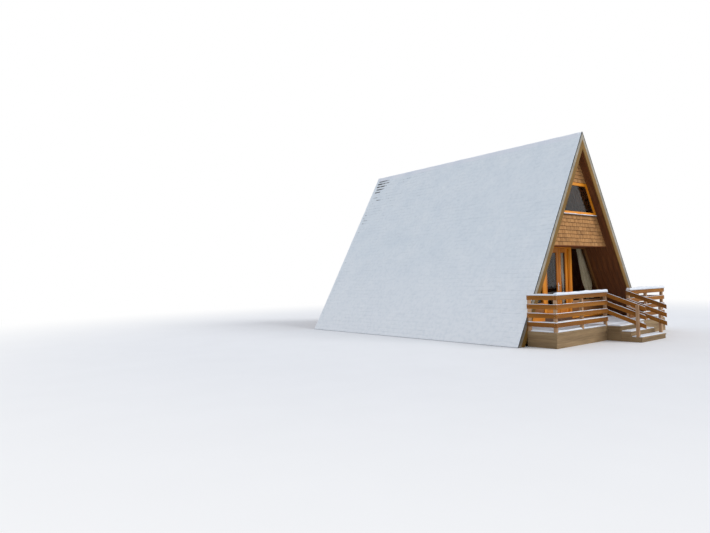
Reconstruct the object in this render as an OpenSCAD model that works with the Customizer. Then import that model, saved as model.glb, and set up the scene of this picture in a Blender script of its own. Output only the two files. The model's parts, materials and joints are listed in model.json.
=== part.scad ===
// A-frame cabin: two roof slopes that run down to the ground, a glazed front
// set back in a porch, a shingled box over the porch, and a timber deck with
// board rails and three box steps.
// The front faces -Y, the ridge runs along Y, and the origin is the centre of
// the foundation's underside, at ground level.

/* [House] */
// Width across the feet of the roof, at the ground
house_w = 7300; // [6800:10:7800]
// Length of the roof along the ridge
roof_l = 9500; // [8800:10:10200]
// Pitch of the two slopes, in degrees
pitch = 60; // [58.5:0.5:62]

/* [Roof] */
// Thickness of the rafter and insulation layer
rafter_t = 180; // [140:1:200]
// Thickness of the inner lining boards
lining_t = 22; // [16:1:30]
// Thickness of the lapped covering, at a butt
cover_t = 50; // [40:1:60]
// Height of one course of the covering, along the slope
course_e = 145; // [120:1:180]
// Depth of the step at the butt of a course
course_step = 18; // [8:1:24]
// Thickness of the sheet metal at verge and ridge
flash_t = 8; // [5:1:12]
// Depth of the verge trim's face, square to the slope
verge_d = 110; // [90:1:130]
// Width of the verge trim's flange on the covering
verge_flange = 90; // [60:1:140]
// Thickness of verge trim and barge boards, along the ridge
trim_t = 28; // [20:1:40]
// Width of the ridge cap down each slope
cap_w = 170; // [120:1:240]

/* [Levels] */
// Height of one riser of the steps
riser = 140; // [120:1:155]
// Thickness of the ground floor on the foundation
floor_t = 180; // [150:1:200]
// Height of the door opening over the threshold
door_h = 2165; // [2000:1:2180]
// Height of the header board over the doors
header_h = 60; // [50:1:120]
// Thickness of the upper floor
upper_floor_t = 200; // [160:1:240]

/* [Front wall] */
// Depth of the porch, from the roof's edge to the glazed front
porch_d = 1000; // [900:5:1100]
// Depth of the front wall's frames
frame_d = 100; // [90:1:130]
// Clear width between the door posts
door_w = 1320; // [1250:1:1400]
// Width of a door post
post_w = 130; // [100:1:150]
// Height of the board parapet under a side window
parapet_h = 560; // [480:1:640]
// Height of the rail at the foot of the parapet
foot_rail_h = 140; // [100:1:180]
// Height of the foot rail over the deck
foot_rail_lift = 60; // [40:1:80]
// Height of a window sill
sill_h = 60; // [40:1:80]
// How far a sill stands out
sill_out = 35; // [20:1:50]
// Width of a side window's frame
frame_w = 60; // [45:1:80]
// Height of a side window's top member, under the porch ceiling
frame_top = 40; // [34:1:60]
// Width of a side window's raked member, square to the slope
rake_w = 90; // [60:1:120]
// Thickness of the window glass
pane_t = 24; // [16:1:30]
// How deep a pane sits in its frame
rebate = 12; // [8:1:16]

/* [Doors] */
// Width of the side leaf
side_leaf_w = 515; // [480:1:560]
// Thickness of a leaf
leaf_t = 60; // [50:1:66]
// Gap between the two leaves
meet_gap = 10; // [10:0.5:12]
// Gap between a leaf and the frame round it
leaf_gap = 6; // [5:0.5:8]
// Width of the main leaf's stiles and of both top rails
stile_w = 110; // [90:1:125]
// Width of the side leaf's stiles
side_stile_w = 130; // [110:1:145]
// Height of the boarded panel at a leaf's foot
kick_h = 310; // [260:1:360]
// Pitch of the panel's grooves
groove_pitch = 60; // [50:1:80]
// Width and depth of a groove
groove = 6; // [4:0.5:8]
// Radius of a hinge barrel
barrel_r = 8; // [6:0.5:8]
// Length of a hinge barrel, half on the post and half on the leaf
barrel_l = 110; // [80:1:140]
// Radius of a hinge pin
pin_r = 4; // [3:0.5:4.5]
// Width of a hinge flap on the wood
flap_w = 40; // [30:1:50]
// Thickness of a hinge flap
flap_t = 4; // [3:0.5:5]

/* [Door handle] */
// Height of the lever over the threshold
lever_z = 975; // [900:1:1050]
// Distance of the lever's spindle from the leaf's free edge
lever_in = 45; // [40:1:50]
// Length of the lever
lever_l = 115; // [95:1:125]
// Radius of the lever's grip at the spindle
lever_r = 11; // [9:0.5:13]
// Radius of the grip's tip
lever_tip_r = 8; // [6:0.5:9]
// Thickness of the grip
lever_t = 14; // [10:1:18]
// How far the grip's middle stands off the leaf
lever_out = 50; // [45:1:60]
// Length of the handle plate
plate_l = 250; // [220:1:280]
// Width of the handle plate
plate_w = 40; // [34:1:44]
// Thickness of the handle plate
plate_t = 8; // [6:1:10]
// Radius of the spindle
spindle_r = 6; // [5:0.5:7]
// Radial clearance round the spindle
spindle_gap = 0.5; // [0.3:0.1:0.8]

/* [Shingled box over the porch] */
// Distance of the shingled panel behind the roof's edge
panel_in = 250; // [200:5:320]
// Thickness of the shingled panel
panel_t = 70; // [50:1:90]
// Height of the panel over the top of the upper floor
panel_up = 730; // [640:1:820]
// How far the panel hangs below the porch ceiling
panel_drip = 20; // [10:1:30]
// Height of one course of shingles
shingle_e = 119; // [100:1:140]
// Depth of the step at the butt of a shingle course
shingle_step = 12; // [8:1:16]
// Thickness of the ledge on the panel
ledge_t = 30; // [20:1:40]
// How far the ledge stands out of the panel
ledge_out = 25; // [15:1:40]
// Height of the upper window
upper_window_h = 1000; // [800:1:1150]
// Width of an upper window's frame
upper_frame_w = 80; // [60:1:100]

/* [Back wall] */
// Distance of the back wall behind the roof's back edge
back_in = 300; // [200:5:400]
// Thickness of the back wall
back_t = 140; // [120:1:180]
// Width of a lower back window
back_window_w = 1000; // [800:5:1200]
// Height of a lower back window
back_window_h = 1000; // [800:5:1100]
// Height of the lower back windows over the floor
back_window_up = 900; // [800:5:950]
// Distance of a lower back window's middle from the wall's middle
back_window_x = 900; // [800:5:950]

/* [Deck and rails] */
// Length of the deck in front of the roof
deck_out = 890; // [800:5:1000]
// Width of the deck in front of the roof
deck_w = 6420; // [6000:10:6600]
// Thickness of the deck boards
deck_t = 28; // [24:1:40]
// Thickness of the skirt boards
skirt_t = 24; // [20:1:30]
// Width of a bearer under the deck
bearer_w = 60; // [45:1:80]
// Height of a bearer
bearer_h = 140; // [100:1:160]
// Side of a deck stump
stump_w = 90; // [70:1:110]
// Largest distance between deck stumps
stump_pitch = 1100; // [900:10:1130]
// Side of a rail post
rail_post_w = 80; // [60:1:90]
// Height of a rail board
rail_h = 120; // [100:1:130]
// Thickness of a rail board
rail_t = 28; // [20:1:34]
// Distance from one rail board to the next
rail_pitch = 240; // [220:1:245]
// Height of the rails over the deck
rail_top = 970; // [940:1:1050]

/* [Steps] */
// Clear width between the rails of the steps
stair_w = 1340; // [1200:5:1400]
// Distance of the steps' middle to the right of the ridge
stair_x = 140; // [100:5:180]
// Depth of the platform in front of the deck
platform_d = 410; // [360:1:440]
// Going of a lower step
going = 290; // [270:1:310]
// Thickness of a tread board
tread_t = 32; // [28:1:40]
// How far a tread stands out of its riser
nosing = 20; // [10:1:30]
// Thickness of risers and side cheeks
cheek_t = 24; // [20:1:30]
// Drop of the stair rail from its top to its foot
stair_rail_drop = 415; // [380:1:440]
// How far the stair rail runs past the steps
stair_rail_past = 70; // [40:1:100]
// Distance of the lower post behind the front of the lowest step
foot_post_in = 90; // [60:1:110]

/* [Curtains] */
// Thickness of a gathered curtain
curtain_t = 60; // [40:1:70]
// Gap between the front frames and a curtain
curtain_gap = 50; // [40:1:60]
// Width of a curtain's foot, along the parapet
curtain_foot = 520; // [400:5:600]
// Width of a curtain's head, under the upper floor
curtain_head = 420; // [350:5:500]
// Width of the curtain on the side leaf
leaf_curtain_w = 150; // [120:1:180]

/* [Hidden] */
// Clearance between sloping faces of fixed pieces
seam = 0.3;
// Clearance at a mitre, and round soft pieces
mitre = 0.5;
$fn = 48;

deck_z = 3 * riser;
floor_z = deck_z + floor_t;
header_z = floor_z + door_h;
ceiling_z = header_z + header_h;
upper_z = ceiling_z + upper_floor_t;
ledge_z = upper_z + panel_up;
upper_window_z = ledge_z + ledge_t;
tip_z = upper_window_z + upper_window_h;

ridge_z = house_w / 2 * tan(pitch);
rafter_d = flash_t + cover_t;
lining_d = rafter_d + rafter_t;
roof_t = lining_d + lining_t;
inside_d = roof_t + seam;

y_front = -roof_l / 2;
y_back = roof_l / 2;
y_wall = y_front + porch_d;
y_wall_in = y_wall + frame_d;
y_panel = y_front + panel_in;
y_back_wall = y_back - back_in;
y_back_wall_in = y_back_wall - back_t;
y_deck = y_front - deck_out;

// Half the width between the planes that lie d inside the roof's outer planes
function slope_x(z, d) = (ridge_z - z) / tan(pitch) - d / sin(pitch);
// Height of such a plane at the distance x from the ridge line
function slope_z(x, d) = ridge_z - (x + d / sin(pitch)) * tan(pitch);
// Right-hand layer of the roof from depth d0 to d1, cut off at z0 and at x0
function layer(d0, d1, z0, x0) = [
    [slope_x(z0, d0), z0],
    [x0, slope_z(x0, d0)],
    [x0, slope_z(x0, d1)],
    [slope_x(z0, d1), z0]
];
// Outline across the house from z0 to z1, between the planes at depth d
function across(z0, z1, d) = [
    [-slope_x(z0, d), z0],
    [slope_x(z0, d), z0],
    [slope_x(z1, d), z1],
    [-slope_x(z1, d), z1]
];
// Point at u up the right-hand slope from its foot and d inside it
function slope_point(u, d) = [
    house_w / 2 - u * cos(pitch) - d * sin(pitch),
    u * sin(pitch) - d * cos(pitch)
];

// Outline in X and Z, pulled from y0 to y1
module along_y(y0, y1) {
    translate([0, y1, 0]) rotate([90, 0, 0]) linear_extrude(y1 - y0) children();
}
// Outline in Y and Z, pulled from x0 to x1
module along_x(x0, x1) {
    translate([x0, 0, 0]) rotate([90, 0, 90]) linear_extrude(x1 - x0) children();
}
module block(x0, x1, y0, y1, z0, z1) {
    translate([x0, y0, z0]) cube([x1 - x0, y1 - y0, z1 - z0]);
}
module left_and_right() {
    children();
    mirror([1, 0, 0]) children();
}

// Floors and foundation
module foundation() {
    color("#8f8d88")
        along_y(y_wall, y_back_wall) polygon(across(0, deck_z, inside_d));
}
module ground_floor() {
    color("#9a6a3c")
        along_y(y_wall_in, y_back_wall_in) polygon(across(deck_z, floor_z, inside_d));
}
module upper_floor() {
    color("#6b3f22")
        along_y(y_panel + panel_t, y_back_wall_in)
            polygon(across(ceiling_z, upper_z, inside_d));
}

// Roof
module roof_layer(d0, d1) {
    along_y(y_front + trim_t, y_back - trim_t) polygon(layer(d0, d1, 0, 0));
}
module roof_right() {
    color("#a9855a") roof_layer(rafter_d, lining_d);
}
module roof_left() {
    color("#a9855a") mirror([1, 0, 0]) roof_layer(rafter_d, lining_d);
}
module lining_right() {
    color("#4a2716") roof_layer(lining_d, roof_t);
}
module lining_left() {
    color("#4a2716") mirror([1, 0, 0]) roof_layer(lining_d, roof_t);
}

// Outer line of the lapped courses: each butt stands at flash_t and each head
// lies course_step deeper
top_d = flash_t + course_step / 2;
top_u = (house_w / 2 - top_d * sin(pitch)) / cos(pitch);
foot_u = flash_t / tan(pitch);
courses = floor(top_u / course_e);
function course_line() = [
    for (i = [0 : courses - 1])
        for (end = [0, 1])
            slope_point(
                i == 0 && end == 0 ? foot_u : (i + end) * course_e,
                flash_t + end * course_step
            )
];
module covering() {
    along_y(y_front + trim_t, y_back - trim_t)
        polygon(concat(
            course_line(),
            [
                slope_point(courses * course_e, flash_t),
                slope_point(top_u, top_d),
                [0, slope_z(0, rafter_d)],
                [slope_x(0, rafter_d), 0]
            ]
        ));
}
module covering_right() {
    color("#c5d0da") covering();
}
module covering_left() {
    color("#c5d0da") mirror([1, 0, 0]) covering();
}
module ridge_cap() {
    end_x = cap_w * cos(pitch);
    end_z = ridge_z - cap_w * sin(pitch);
    dx = flash_t * sin(pitch);
    dz = flash_t * cos(pitch);
    color("#9aa39c")
        along_y(y_front + trim_t + verge_flange, y_back - trim_t - verge_flange)
            polygon([
                [end_x, end_z],
                [0, ridge_z],
                [-end_x, end_z],
                [-end_x + dx, end_z - dz],
                [0, slope_z(0, flash_t)],
                [end_x - dx, end_z - dz]
            ]);
}

// Edges of the roof, drawn at the front and turned round for the back
module at_back() {
    rotate([0, 0, 180]) children();
}
module verge_trim() {
    left_and_right() {
        along_y(y_front, y_front + trim_t) polygon(layer(0, verge_d, 0, mitre));
        along_y(y_front + trim_t, y_front + trim_t + verge_flange)
            polygon(layer(0, flash_t, 0, mitre));
    }
}
module barge_pair() {
    left_and_right()
        along_y(y_front, y_front + trim_t) polygon(layer(verge_d, roof_t, 0, mitre));
}
module front_and_back() {
    children();
    at_back() children();
}
module verge_trims() {
    color("#9aa39c") front_and_back() verge_trim();
}
module barge_boards() {
    color("#6e4620") front_and_back() barge_pair();
}

// Front wall
post_x = door_w / 2;
bay_x = post_x + post_w;
parapet_z = deck_z + parapet_h;
glass_z = parapet_z + sill_h;
pane_y = y_wall + (frame_d - pane_t) / 2;

// Right-hand bay between a door post and the roof, from z0 to z1, narrowed by
// side along the post and by rake along the slope
function bay(z0, z1, side, rake) = [
    [bay_x + side, z0],
    [slope_x(z0, inside_d + rake), z0],
    [slope_x(z1, inside_d + rake), z1],
    [bay_x + side, z1]
];
module threshold() {
    color("#6b4a2a") block(-bay_x, bay_x, y_wall, y_wall_in, deck_z, floor_z);
}
module door_posts() {
    color("#e08a10")
        left_and_right() {
            block(post_x, bay_x, y_wall, y_wall_in, floor_z, header_z);
            at_side_leaf()
                for (z = hinge_zs)
                    translate([-hinge_in, y_wall_in + hinge_out, z]) {
                        hinge_half(0, -1);
                        cylinder(h = barrel_l - pin_short, r = pin_r);
                    }
        }
}
module front_header() {
    color("#e08a10") block(-bay_x, bay_x, y_wall, y_wall_in, header_z, ceiling_z);
}
module parapet() {
    foot_z = deck_z + foot_rail_lift;
    along_y(y_wall + skirt_t, y_wall_in) polygon(bay(deck_z, parapet_z, 0, 0));
    along_y(y_wall, y_wall + skirt_t) polygon(bay(foot_z, foot_z + foot_rail_h, 0, 0));
}
module parapets() {
    color("#8a5a2c") left_and_right() parapet();
}
module side_window_frame() {
    difference() {
        along_y(y_wall, y_wall_in) polygon(bay(parapet_z, ceiling_z, 0, 0));
        along_y(y_wall - 1, y_wall_in + 1)
            polygon(bay(glass_z, ceiling_z - frame_top, frame_w, rake_w));
        along_y(pane_y, pane_y + pane_t) polygon(side_pane());
    }
    along_y(y_wall - sill_out, y_wall) polygon(bay(parapet_z, glass_z, 0, 0));
}
function side_pane() =
    bay(glass_z - rebate, ceiling_z - frame_top + rebate, frame_w - rebate, rake_w - rebate);
module side_window_frames() {
    color("#e08a10") left_and_right() side_window_frame();
}
module window_glass_front() {
    color("#3c4a4e", 0.5)
        left_and_right() along_y(pane_y, pane_y + pane_t) polygon(side_pane());
}

// Door leaves: the main leaf hangs on the left post and the side leaf on the
// right one, and both open inwards
main_leaf_w = door_w - 2 * leaf_gap - meet_gap - side_leaf_w;
leaf_h = door_h - 2 * leaf_gap;
leaf_y = y_wall_in - leaf_t;
leaf_z = floor_z + leaf_gap;
main_x = -post_x + leaf_gap;
side_x = post_x - leaf_gap;

// Hinges: the axis stands hinge_out inside the leaf's inner face, and a pin on
// the post's half runs up into the leaf's half
hinge_in = leaf_gap / 2;
hinge_out = barrel_r + 1;
pin_short = 2;
hinge_zs = [barrel_l, (leaf_h - barrel_l) / 2, leaf_h - 2 * barrel_l];

// Half a hinge from z up, drawn round its axis with its flap towards side
module hinge_half(z, side) {
    h = barrel_l / 2 - seam / 2;
    w = hinge_in + flap_w;
    translate([0, 0, z]) {
        cylinder(h = h, r = barrel_r);
        translate([side > 0 ? 0 : -w, -hinge_out, 0]) cube([w, flap_t, h]);
    }
}

// Leaf drawn from its hinge edge at x = 0 towards +X, with its foot at z = 0
module leaf(w, stile) {
    difference() {
        block(0, w, leaf_y, y_wall_in, 0, leaf_h);
        block(stile, w - stile, leaf_y - 1, y_wall_in + 1, kick_h, leaf_h - stile_w);
        leaf_pane(w, stile);
        for (z = [groove_pitch : groove_pitch : kick_h - groove_pitch])
            for (y = [leaf_y, y_wall_in - groove])
                block(stile, w - stile, y, y + groove, z, z + groove);
    }
    for (z = hinge_zs)
        translate([-hinge_in, y_wall_in + hinge_out, z])
            difference() {
                hinge_half(barrel_l / 2 + seam / 2, 1);
                cylinder(h = barrel_l + 1, r = pin_r + seam);
            }
}
module leaf_pane(w, stile) {
    y = leaf_y + (leaf_t - pane_t) / 2;
    block(
        stile - rebate, w - stile + rebate, y, y + pane_t,
        kick_h - rebate, leaf_h - stile_w + rebate
    );
}
module at_main_leaf() {
    translate([main_x, 0, leaf_z]) children();
}
module at_side_leaf() {
    translate([side_x, 0, leaf_z]) mirror([1, 0, 0]) children();
}

// Handle: a plate on each face and one lever that runs through both
spindle_x = main_x + main_leaf_w - lever_in;
spindle_z = floor_z + lever_z;
plate_up = plate_l / 3;
module spindle_hole() {
    along_y(leaf_y - plate_t - 1, y_wall_in + plate_t + 1)
        translate([spindle_x, spindle_z]) circle(r = spindle_r + spindle_gap);
}
module plates() {
    for (y = [leaf_y - plate_t, y_wall_in])
        block(
            spindle_x - plate_w / 2, spindle_x + plate_w / 2, y, y + plate_t,
            spindle_z - plate_l + plate_up, spindle_z + plate_up
        );
}
module main_door() {
    color("#d9860f")
        difference() {
            at_main_leaf() leaf(main_leaf_w, stile_w);
            spindle_hole();
        }
}
module door_plates() {
    color("#c9c8c4")
        difference() {
            plates();
            spindle_hole();
        }
}
module door_lever() {
    grip_y = [leaf_y - lever_out, y_wall_in + lever_out];
    color("#c9c8c4") {
        along_y(grip_y[0], grip_y[1])
            translate([spindle_x, spindle_z]) circle(r = spindle_r);
        for (y = grip_y)
            along_y(y - lever_t / 2, y + lever_t / 2)
                translate([spindle_x, spindle_z])
                    hull() {
                        circle(r = lever_r);
                        translate([lever_tip_r - lever_l, 0]) circle(r = lever_tip_r);
                    }
    }
}
module main_door_glass() {
    color("#3c4a4e", 0.5) at_main_leaf() leaf_pane(main_leaf_w, stile_w);
}
module side_door() {
    color("#d9860f") at_side_leaf() leaf(side_leaf_w, side_stile_w);
}
module side_door_glass() {
    color("#3c4a4e", 0.5) at_side_leaf() leaf_pane(side_leaf_w, side_stile_w);
}

// Shingled wall: courses whose butts stand shingle_step out, from z0 to z1,
// with the butts' face at y and the back of the wall t behind it
function shingle_line(y, z0, z1, t) = concat(
    [
        for (z = [z0 : shingle_e : z1 - 1])
            for (p = [[0, z], [shingle_step, min(z + shingle_e, z1)]])
                [y + p[0], p[1]]
    ],
    [[y + t, z1], [y + t, z0]]
);
module shingled_wall(y, z0, z1, t) {
    half = slope_x(z0, inside_d);
    intersection() {
        along_x(-half, half) polygon(shingle_line(y, z0, z1, t));
        along_y(y, y + t) polygon(across(z0, z1, inside_d));
    }
}
// Triangle of shingled wall that fills the roof over z0
module shingled_tip(y, z0, t) {
    half = slope_x(z0, inside_d);
    top = slope_z(0, inside_d);
    intersection() {
        along_x(-half, half) polygon(shingle_line(y, z0, top, t));
        along_y(y, y + t) polygon([[-half, z0], [half, z0], [0, top]]);
    }
}
module shingle_panel() {
    color("#b07a50")
        shingled_wall(y_panel, ceiling_z - panel_drip, ledge_z, panel_t);
}
module upper_ledge() {
    color("#4a3322")
        along_y(y_panel - ledge_out, y_panel + panel_t)
            polygon(across(ledge_z, upper_window_z, inside_d));
}
// Raked window between the slopes, used in both gables
function upper_hole(edge) = [
    [-slope_x(upper_window_z + edge, inside_d + edge), upper_window_z + edge],
    [slope_x(upper_window_z + edge, inside_d + edge), upper_window_z + edge],
    [slope_x(tip_z - edge, inside_d + edge), tip_z - edge],
    [-slope_x(tip_z - edge, inside_d + edge), tip_z - edge]
];
module upper_frame(y, t) {
    glass_y = y + (t - pane_t) / 2;
    difference() {
        along_y(y, y + t) polygon(upper_hole(0));
        along_y(y - 1, y + t + 1) polygon(upper_hole(upper_frame_w));
        along_y(glass_y, glass_y + pane_t) polygon(upper_hole(upper_frame_w - rebate));
    }
}
module upper_pane(y, t) {
    glass_y = y + (t - pane_t) / 2;
    along_y(glass_y, glass_y + pane_t) polygon(upper_hole(upper_frame_w - rebate));
}
module upper_window_frame() {
    color("#e08a10") upper_frame(y_panel, panel_t);
}
module upper_window_glass() {
    color("#3c4a4e", 0.5) upper_pane(y_panel, panel_t);
}
module gable_tips() {
    color("#b07a50") {
        shingled_tip(y_panel, tip_z, panel_t);
        at_back() shingled_tip(back_y, tip_z, back_t);
    }
}

// Back wall, drawn at the front and turned round
back_y = -y_back_wall;
back_frame_w = frame_w;
back_window_z = floor_z + back_window_up;
module back_window_hole(edge, y0, y1) {
    left_and_right()
        block(
            back_window_x - back_window_w / 2 + edge,
            back_window_x + back_window_w / 2 - edge,
            y0, y1, back_window_z + edge, back_window_z + back_window_h - edge
        );
}
module back_wall() {
    color("#8a5a2c")
        at_back()
            difference() {
                along_y(back_y, back_y + back_t)
                    polygon(across(deck_z, ledge_z, inside_d));
                back_window_hole(0, back_y - 1, back_y + back_t + 1);
            }
}
module back_ledge() {
    color("#4a3322")
        at_back()
            along_y(back_y - ledge_out, back_y + back_t)
                polygon(across(ledge_z, upper_window_z, inside_d));
}
module back_window_frames() {
    pane = back_y + (back_t - pane_t) / 2;
    color("#e08a10")
        at_back() {
            difference() {
                back_window_hole(0, back_y, back_y + back_t);
                back_window_hole(back_frame_w, back_y - 1, back_y + back_t + 1);
                back_window_hole(back_frame_w - rebate, pane, pane + pane_t);
            }
            upper_frame(back_y, back_t);
        }
}
module back_window_glass() {
    pane = back_y + (back_t - pane_t) / 2;
    color("#3c4a4e", 0.5)
        at_back() {
            back_window_hole(back_frame_w - rebate, pane, pane + pane_t);
            upper_pane(back_y, back_t);
        }
}

// Deck
deck_half = deck_w / 2;
deck_in_half = slope_x(deck_z, inside_d);
module deck() {
    color("#9a7248") {
        block(-deck_half, deck_half, y_deck, y_front, deck_z - deck_t, deck_z);
        block(-deck_in_half, deck_in_half, y_front, y_wall, deck_z - deck_t, deck_z);
    }
}
module deck_skirt() {
    color("#8a6f50") {
        block(-deck_half, deck_half, y_deck, y_deck + skirt_t, 0, deck_z - deck_t);
        left_and_right()
            block(
                deck_half - skirt_t, deck_half,
                y_deck + skirt_t + mitre, y_front, 0, deck_z - deck_t
            );
    }
}
bearer_half = deck_in_half - skirt_t;
stump_gaps = ceil((2 * bearer_half - stump_w) / stump_pitch);
stump_step = (2 * bearer_half - stump_w) / stump_gaps;
module bearer(y) {
    top = deck_z - deck_t;
    block(-bearer_half, bearer_half, y, y + bearer_w, top - bearer_h, top);
    for (i = [0 : stump_gaps])
        translate([-bearer_half + i * stump_step, y + (bearer_w - stump_w) / 2, 0])
            cube([stump_w, stump_w, top - bearer_h]);
}
module deck_bearers() {
    first_y = y_deck + skirt_t + stump_w;
    last_y = y_wall - stump_w - bearer_w;
    color("#7a5c3a")
        for (i = [0 : 2])
            bearer(first_y + i * (last_y - first_y) / 2);
}

// Rails of four boards on posts
rail_z = deck_z + rail_top;
board_count = 4;
stair_x0 = stair_x - stair_w / 2;
stair_x1 = stair_x + stair_w / 2;
rail_post_y = y_deck + rail_t;
module rail_post(x, y) {
    translate([x, y, deck_z]) cube([rail_post_w, rail_post_w, rail_top]);
}
// Boards of a rail, one over the other
module rail_boards(x0, x1, y0, y1) {
    for (i = [0 : board_count - 1])
        translate([0, 0, rail_z - i * rail_pitch]) block(x0, x1, y0, y1, -rail_h, 0);
}
// Front rail from the steps, at x0, to the deck's corner
module front_rail(x0) {
    corner_x = deck_half - rail_t - rail_post_w;
    rail_boards(x0, deck_half, y_deck, rail_post_y);
    for (x = [x0, (x0 + corner_x) / 2, corner_x])
        rail_post(x, rail_post_y);
}
module front_rail_left() {
    color("#a06a28") mirror([1, 0, 0]) front_rail(-stair_x0);
}
module front_rail_right() {
    color("#a06a28") front_rail(stair_x1);
}
module side_rails() {
    x = deck_half - rail_t;
    color("#a06a28")
        left_and_right() {
            rail_boards(x, deck_half, rail_post_y + mitre, y_front - mitre);
            rail_post(x - rail_post_w, y_front - mitre - rail_post_w);
        }
}

// Steps: boxes of a tread, a riser and two cheeks
step_x0 = stair_x0 - rail_post_w;
step_x1 = stair_x1 + rail_post_w;
y_platform = y_deck - platform_d;
y_middle = y_platform - going;
y_lowest = y_middle - going;
module box_step(y0, y1, top) {
    under = top - tread_t;
    block(step_x0, step_x1, y0, y1, under, top);
    block(step_x0, step_x1, y0 + nosing, y0 + nosing + cheek_t, 0, under);
    for (x = [step_x0, step_x1 - cheek_t])
        block(x, x + cheek_t, y0 + nosing + cheek_t, y1, 0, under);
}
module stair_platform() {
    color("#8a6f50") box_step(y_platform, y_deck, deck_z);
}
module step_middle() {
    color("#8a6f50") box_step(y_middle, y_platform + nosing, deck_z - riser);
}
module step_lowest() {
    color("#8a6f50") box_step(y_lowest, y_middle + nosing, deck_z - 2 * riser);
}

// Stair rails: three sloping boards on the stair's side of the posts
stair_boards = 3;
y_rail_head = rail_post_y + rail_post_w;
y_rail_foot = y_lowest - stair_rail_past;
rail_fall = stair_rail_drop / (y_rail_head - y_rail_foot);
function stair_rail_z(y) = rail_z - (y_rail_head - y) * rail_fall;
module stair_rail() {
    for (i = [0 : stair_boards - 1])
        along_x(0, rail_t)
            polygon([
                [y_rail_foot, stair_rail_z(y_rail_foot) - i * rail_pitch],
                [y_rail_head, rail_z - i * rail_pitch],
                [y_rail_head, rail_z - i * rail_pitch - rail_h],
                [y_rail_foot, stair_rail_z(y_rail_foot) - i * rail_pitch - rail_h]
            ]);
    foot_y = y_lowest + foot_post_in;
    block(
        -rail_post_w, 0, foot_y, foot_y + rail_post_w,
        riser, stair_rail_z(foot_y) - mitre
    );
}
module stair_rails() {
    color("#a06a28") {
        translate([stair_x0, 0, 0]) stair_rail();
        translate([stair_x1, 0, 0]) mirror([1, 0, 0]) stair_rail();
    }
}

// Curtains, gathered along the slopes and on the side leaf
curtain_y = y_wall_in + curtain_gap;
module side_curtain() {
    foot_z = glass_z;
    head_z = ceiling_z - mitre;
    along_y(curtain_y, curtain_y + curtain_t)
        polygon([
            [slope_x(foot_z, inside_d + mitre), foot_z],
            [slope_x(head_z, inside_d + mitre), head_z],
            [slope_x(head_z, inside_d + mitre) - curtain_head, head_z],
            [slope_x(foot_z, inside_d + mitre) - curtain_foot, foot_z]
        ]);
}
module curtains() {
    color("#8f7c58") left_and_right() side_curtain();
}
module leaf_curtain() {
    color("#8f7c58")
        at_side_leaf()
            block(
                side_stile_w, side_stile_w + leaf_curtain_w,
                y_wall_in + seam, y_wall_in + seam + curtain_t,
                kick_h, leaf_h - stile_w
            );
}

foundation();
ground_floor();
upper_floor();
roof_left();
roof_right();
lining_left();
lining_right();
covering_left();
covering_right();
ridge_cap();
verge_trims();
barge_boards();
threshold();
door_posts();
front_header();
parapets();
side_window_frames();
window_glass_front();
main_door();
main_door_glass();
door_plates();
door_lever();
side_door();
side_door_glass();
leaf_curtain();
shingle_panel();
upper_ledge();
upper_window_frame();
upper_window_glass();
gable_tips();
back_wall();
back_ledge();
back_window_frames();
back_window_glass();
deck();
deck_skirt();
deck_bearers();
front_rail_left();
front_rail_right();
side_rails();
stair_platform();
step_middle();
step_lowest();
stair_rails();
curtains();
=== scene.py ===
"""Looks of the a-frame cabin in winter: stained joinery, shingles, curtains and
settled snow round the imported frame. Lengths are in metres, and the front faces -Y."""

import json
import math
import random

import bmesh
import bpy
import numpy as np
from mathutils import Matrix, Vector, noise

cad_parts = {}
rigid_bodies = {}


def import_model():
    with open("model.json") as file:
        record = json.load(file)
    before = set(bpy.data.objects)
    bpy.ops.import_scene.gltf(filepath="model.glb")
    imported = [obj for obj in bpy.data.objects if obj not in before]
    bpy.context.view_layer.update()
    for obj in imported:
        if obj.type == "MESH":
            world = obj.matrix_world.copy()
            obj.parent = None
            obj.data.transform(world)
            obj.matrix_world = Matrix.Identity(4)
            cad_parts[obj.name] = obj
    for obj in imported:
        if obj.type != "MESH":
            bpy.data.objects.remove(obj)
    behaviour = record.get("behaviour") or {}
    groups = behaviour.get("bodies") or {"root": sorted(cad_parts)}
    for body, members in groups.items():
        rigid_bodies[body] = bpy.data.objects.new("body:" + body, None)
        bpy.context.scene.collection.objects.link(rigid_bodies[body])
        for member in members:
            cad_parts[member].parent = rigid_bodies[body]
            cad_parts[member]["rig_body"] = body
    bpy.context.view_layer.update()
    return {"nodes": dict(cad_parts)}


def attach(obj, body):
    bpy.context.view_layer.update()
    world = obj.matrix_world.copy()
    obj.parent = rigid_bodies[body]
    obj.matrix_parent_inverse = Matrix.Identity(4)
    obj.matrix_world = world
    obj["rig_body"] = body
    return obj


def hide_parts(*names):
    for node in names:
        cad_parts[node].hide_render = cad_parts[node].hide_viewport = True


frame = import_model()
NODES = frame["nodes"]

# Sizes of the house
PITCH = math.radians(60)
SIN, COS, TAN = math.sin(PITCH), math.cos(PITCH), math.tan(PITCH)
HALF_W = 3.65
RIDGE = HALF_W * TAN
Y_FRONT, Y_BACK = -4.75, 4.75
Y_WALL, Y_WALL_IN = -3.75, -3.65
Y_PANEL, Y_PANEL_IN = -4.5, -4.43
Y_GABLE, Y_GABLE_IN = 4.45, 4.31
Y_DECK, Y_PLATFORM, Y_MIDDLE, Y_LOWEST = -5.64, -6.05, -6.34, -6.63
DECK, FLOOR, PARAPET, SILL = 0.42, 0.6, 0.98, 1.04
HEADER, CEILING, LEDGE, UPPER, TIP = 2.765, 2.825, 3.755, 3.785, 4.785
PANEL_FOOT = 2.805
BACK_WINDOWS, BACK_SILL, BACK_HEAD = (-0.9, 0.9), 1.5, 2.5
# Depth of the verge trims, and how far under the roof's face the inside lies
TRIM, INSIDE = 0.028, 0.2603
# One course of the covering, up the slope
COURSE = 0.145
# Gap between faces that must not share a plane
HAIR = 0.0005


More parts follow.
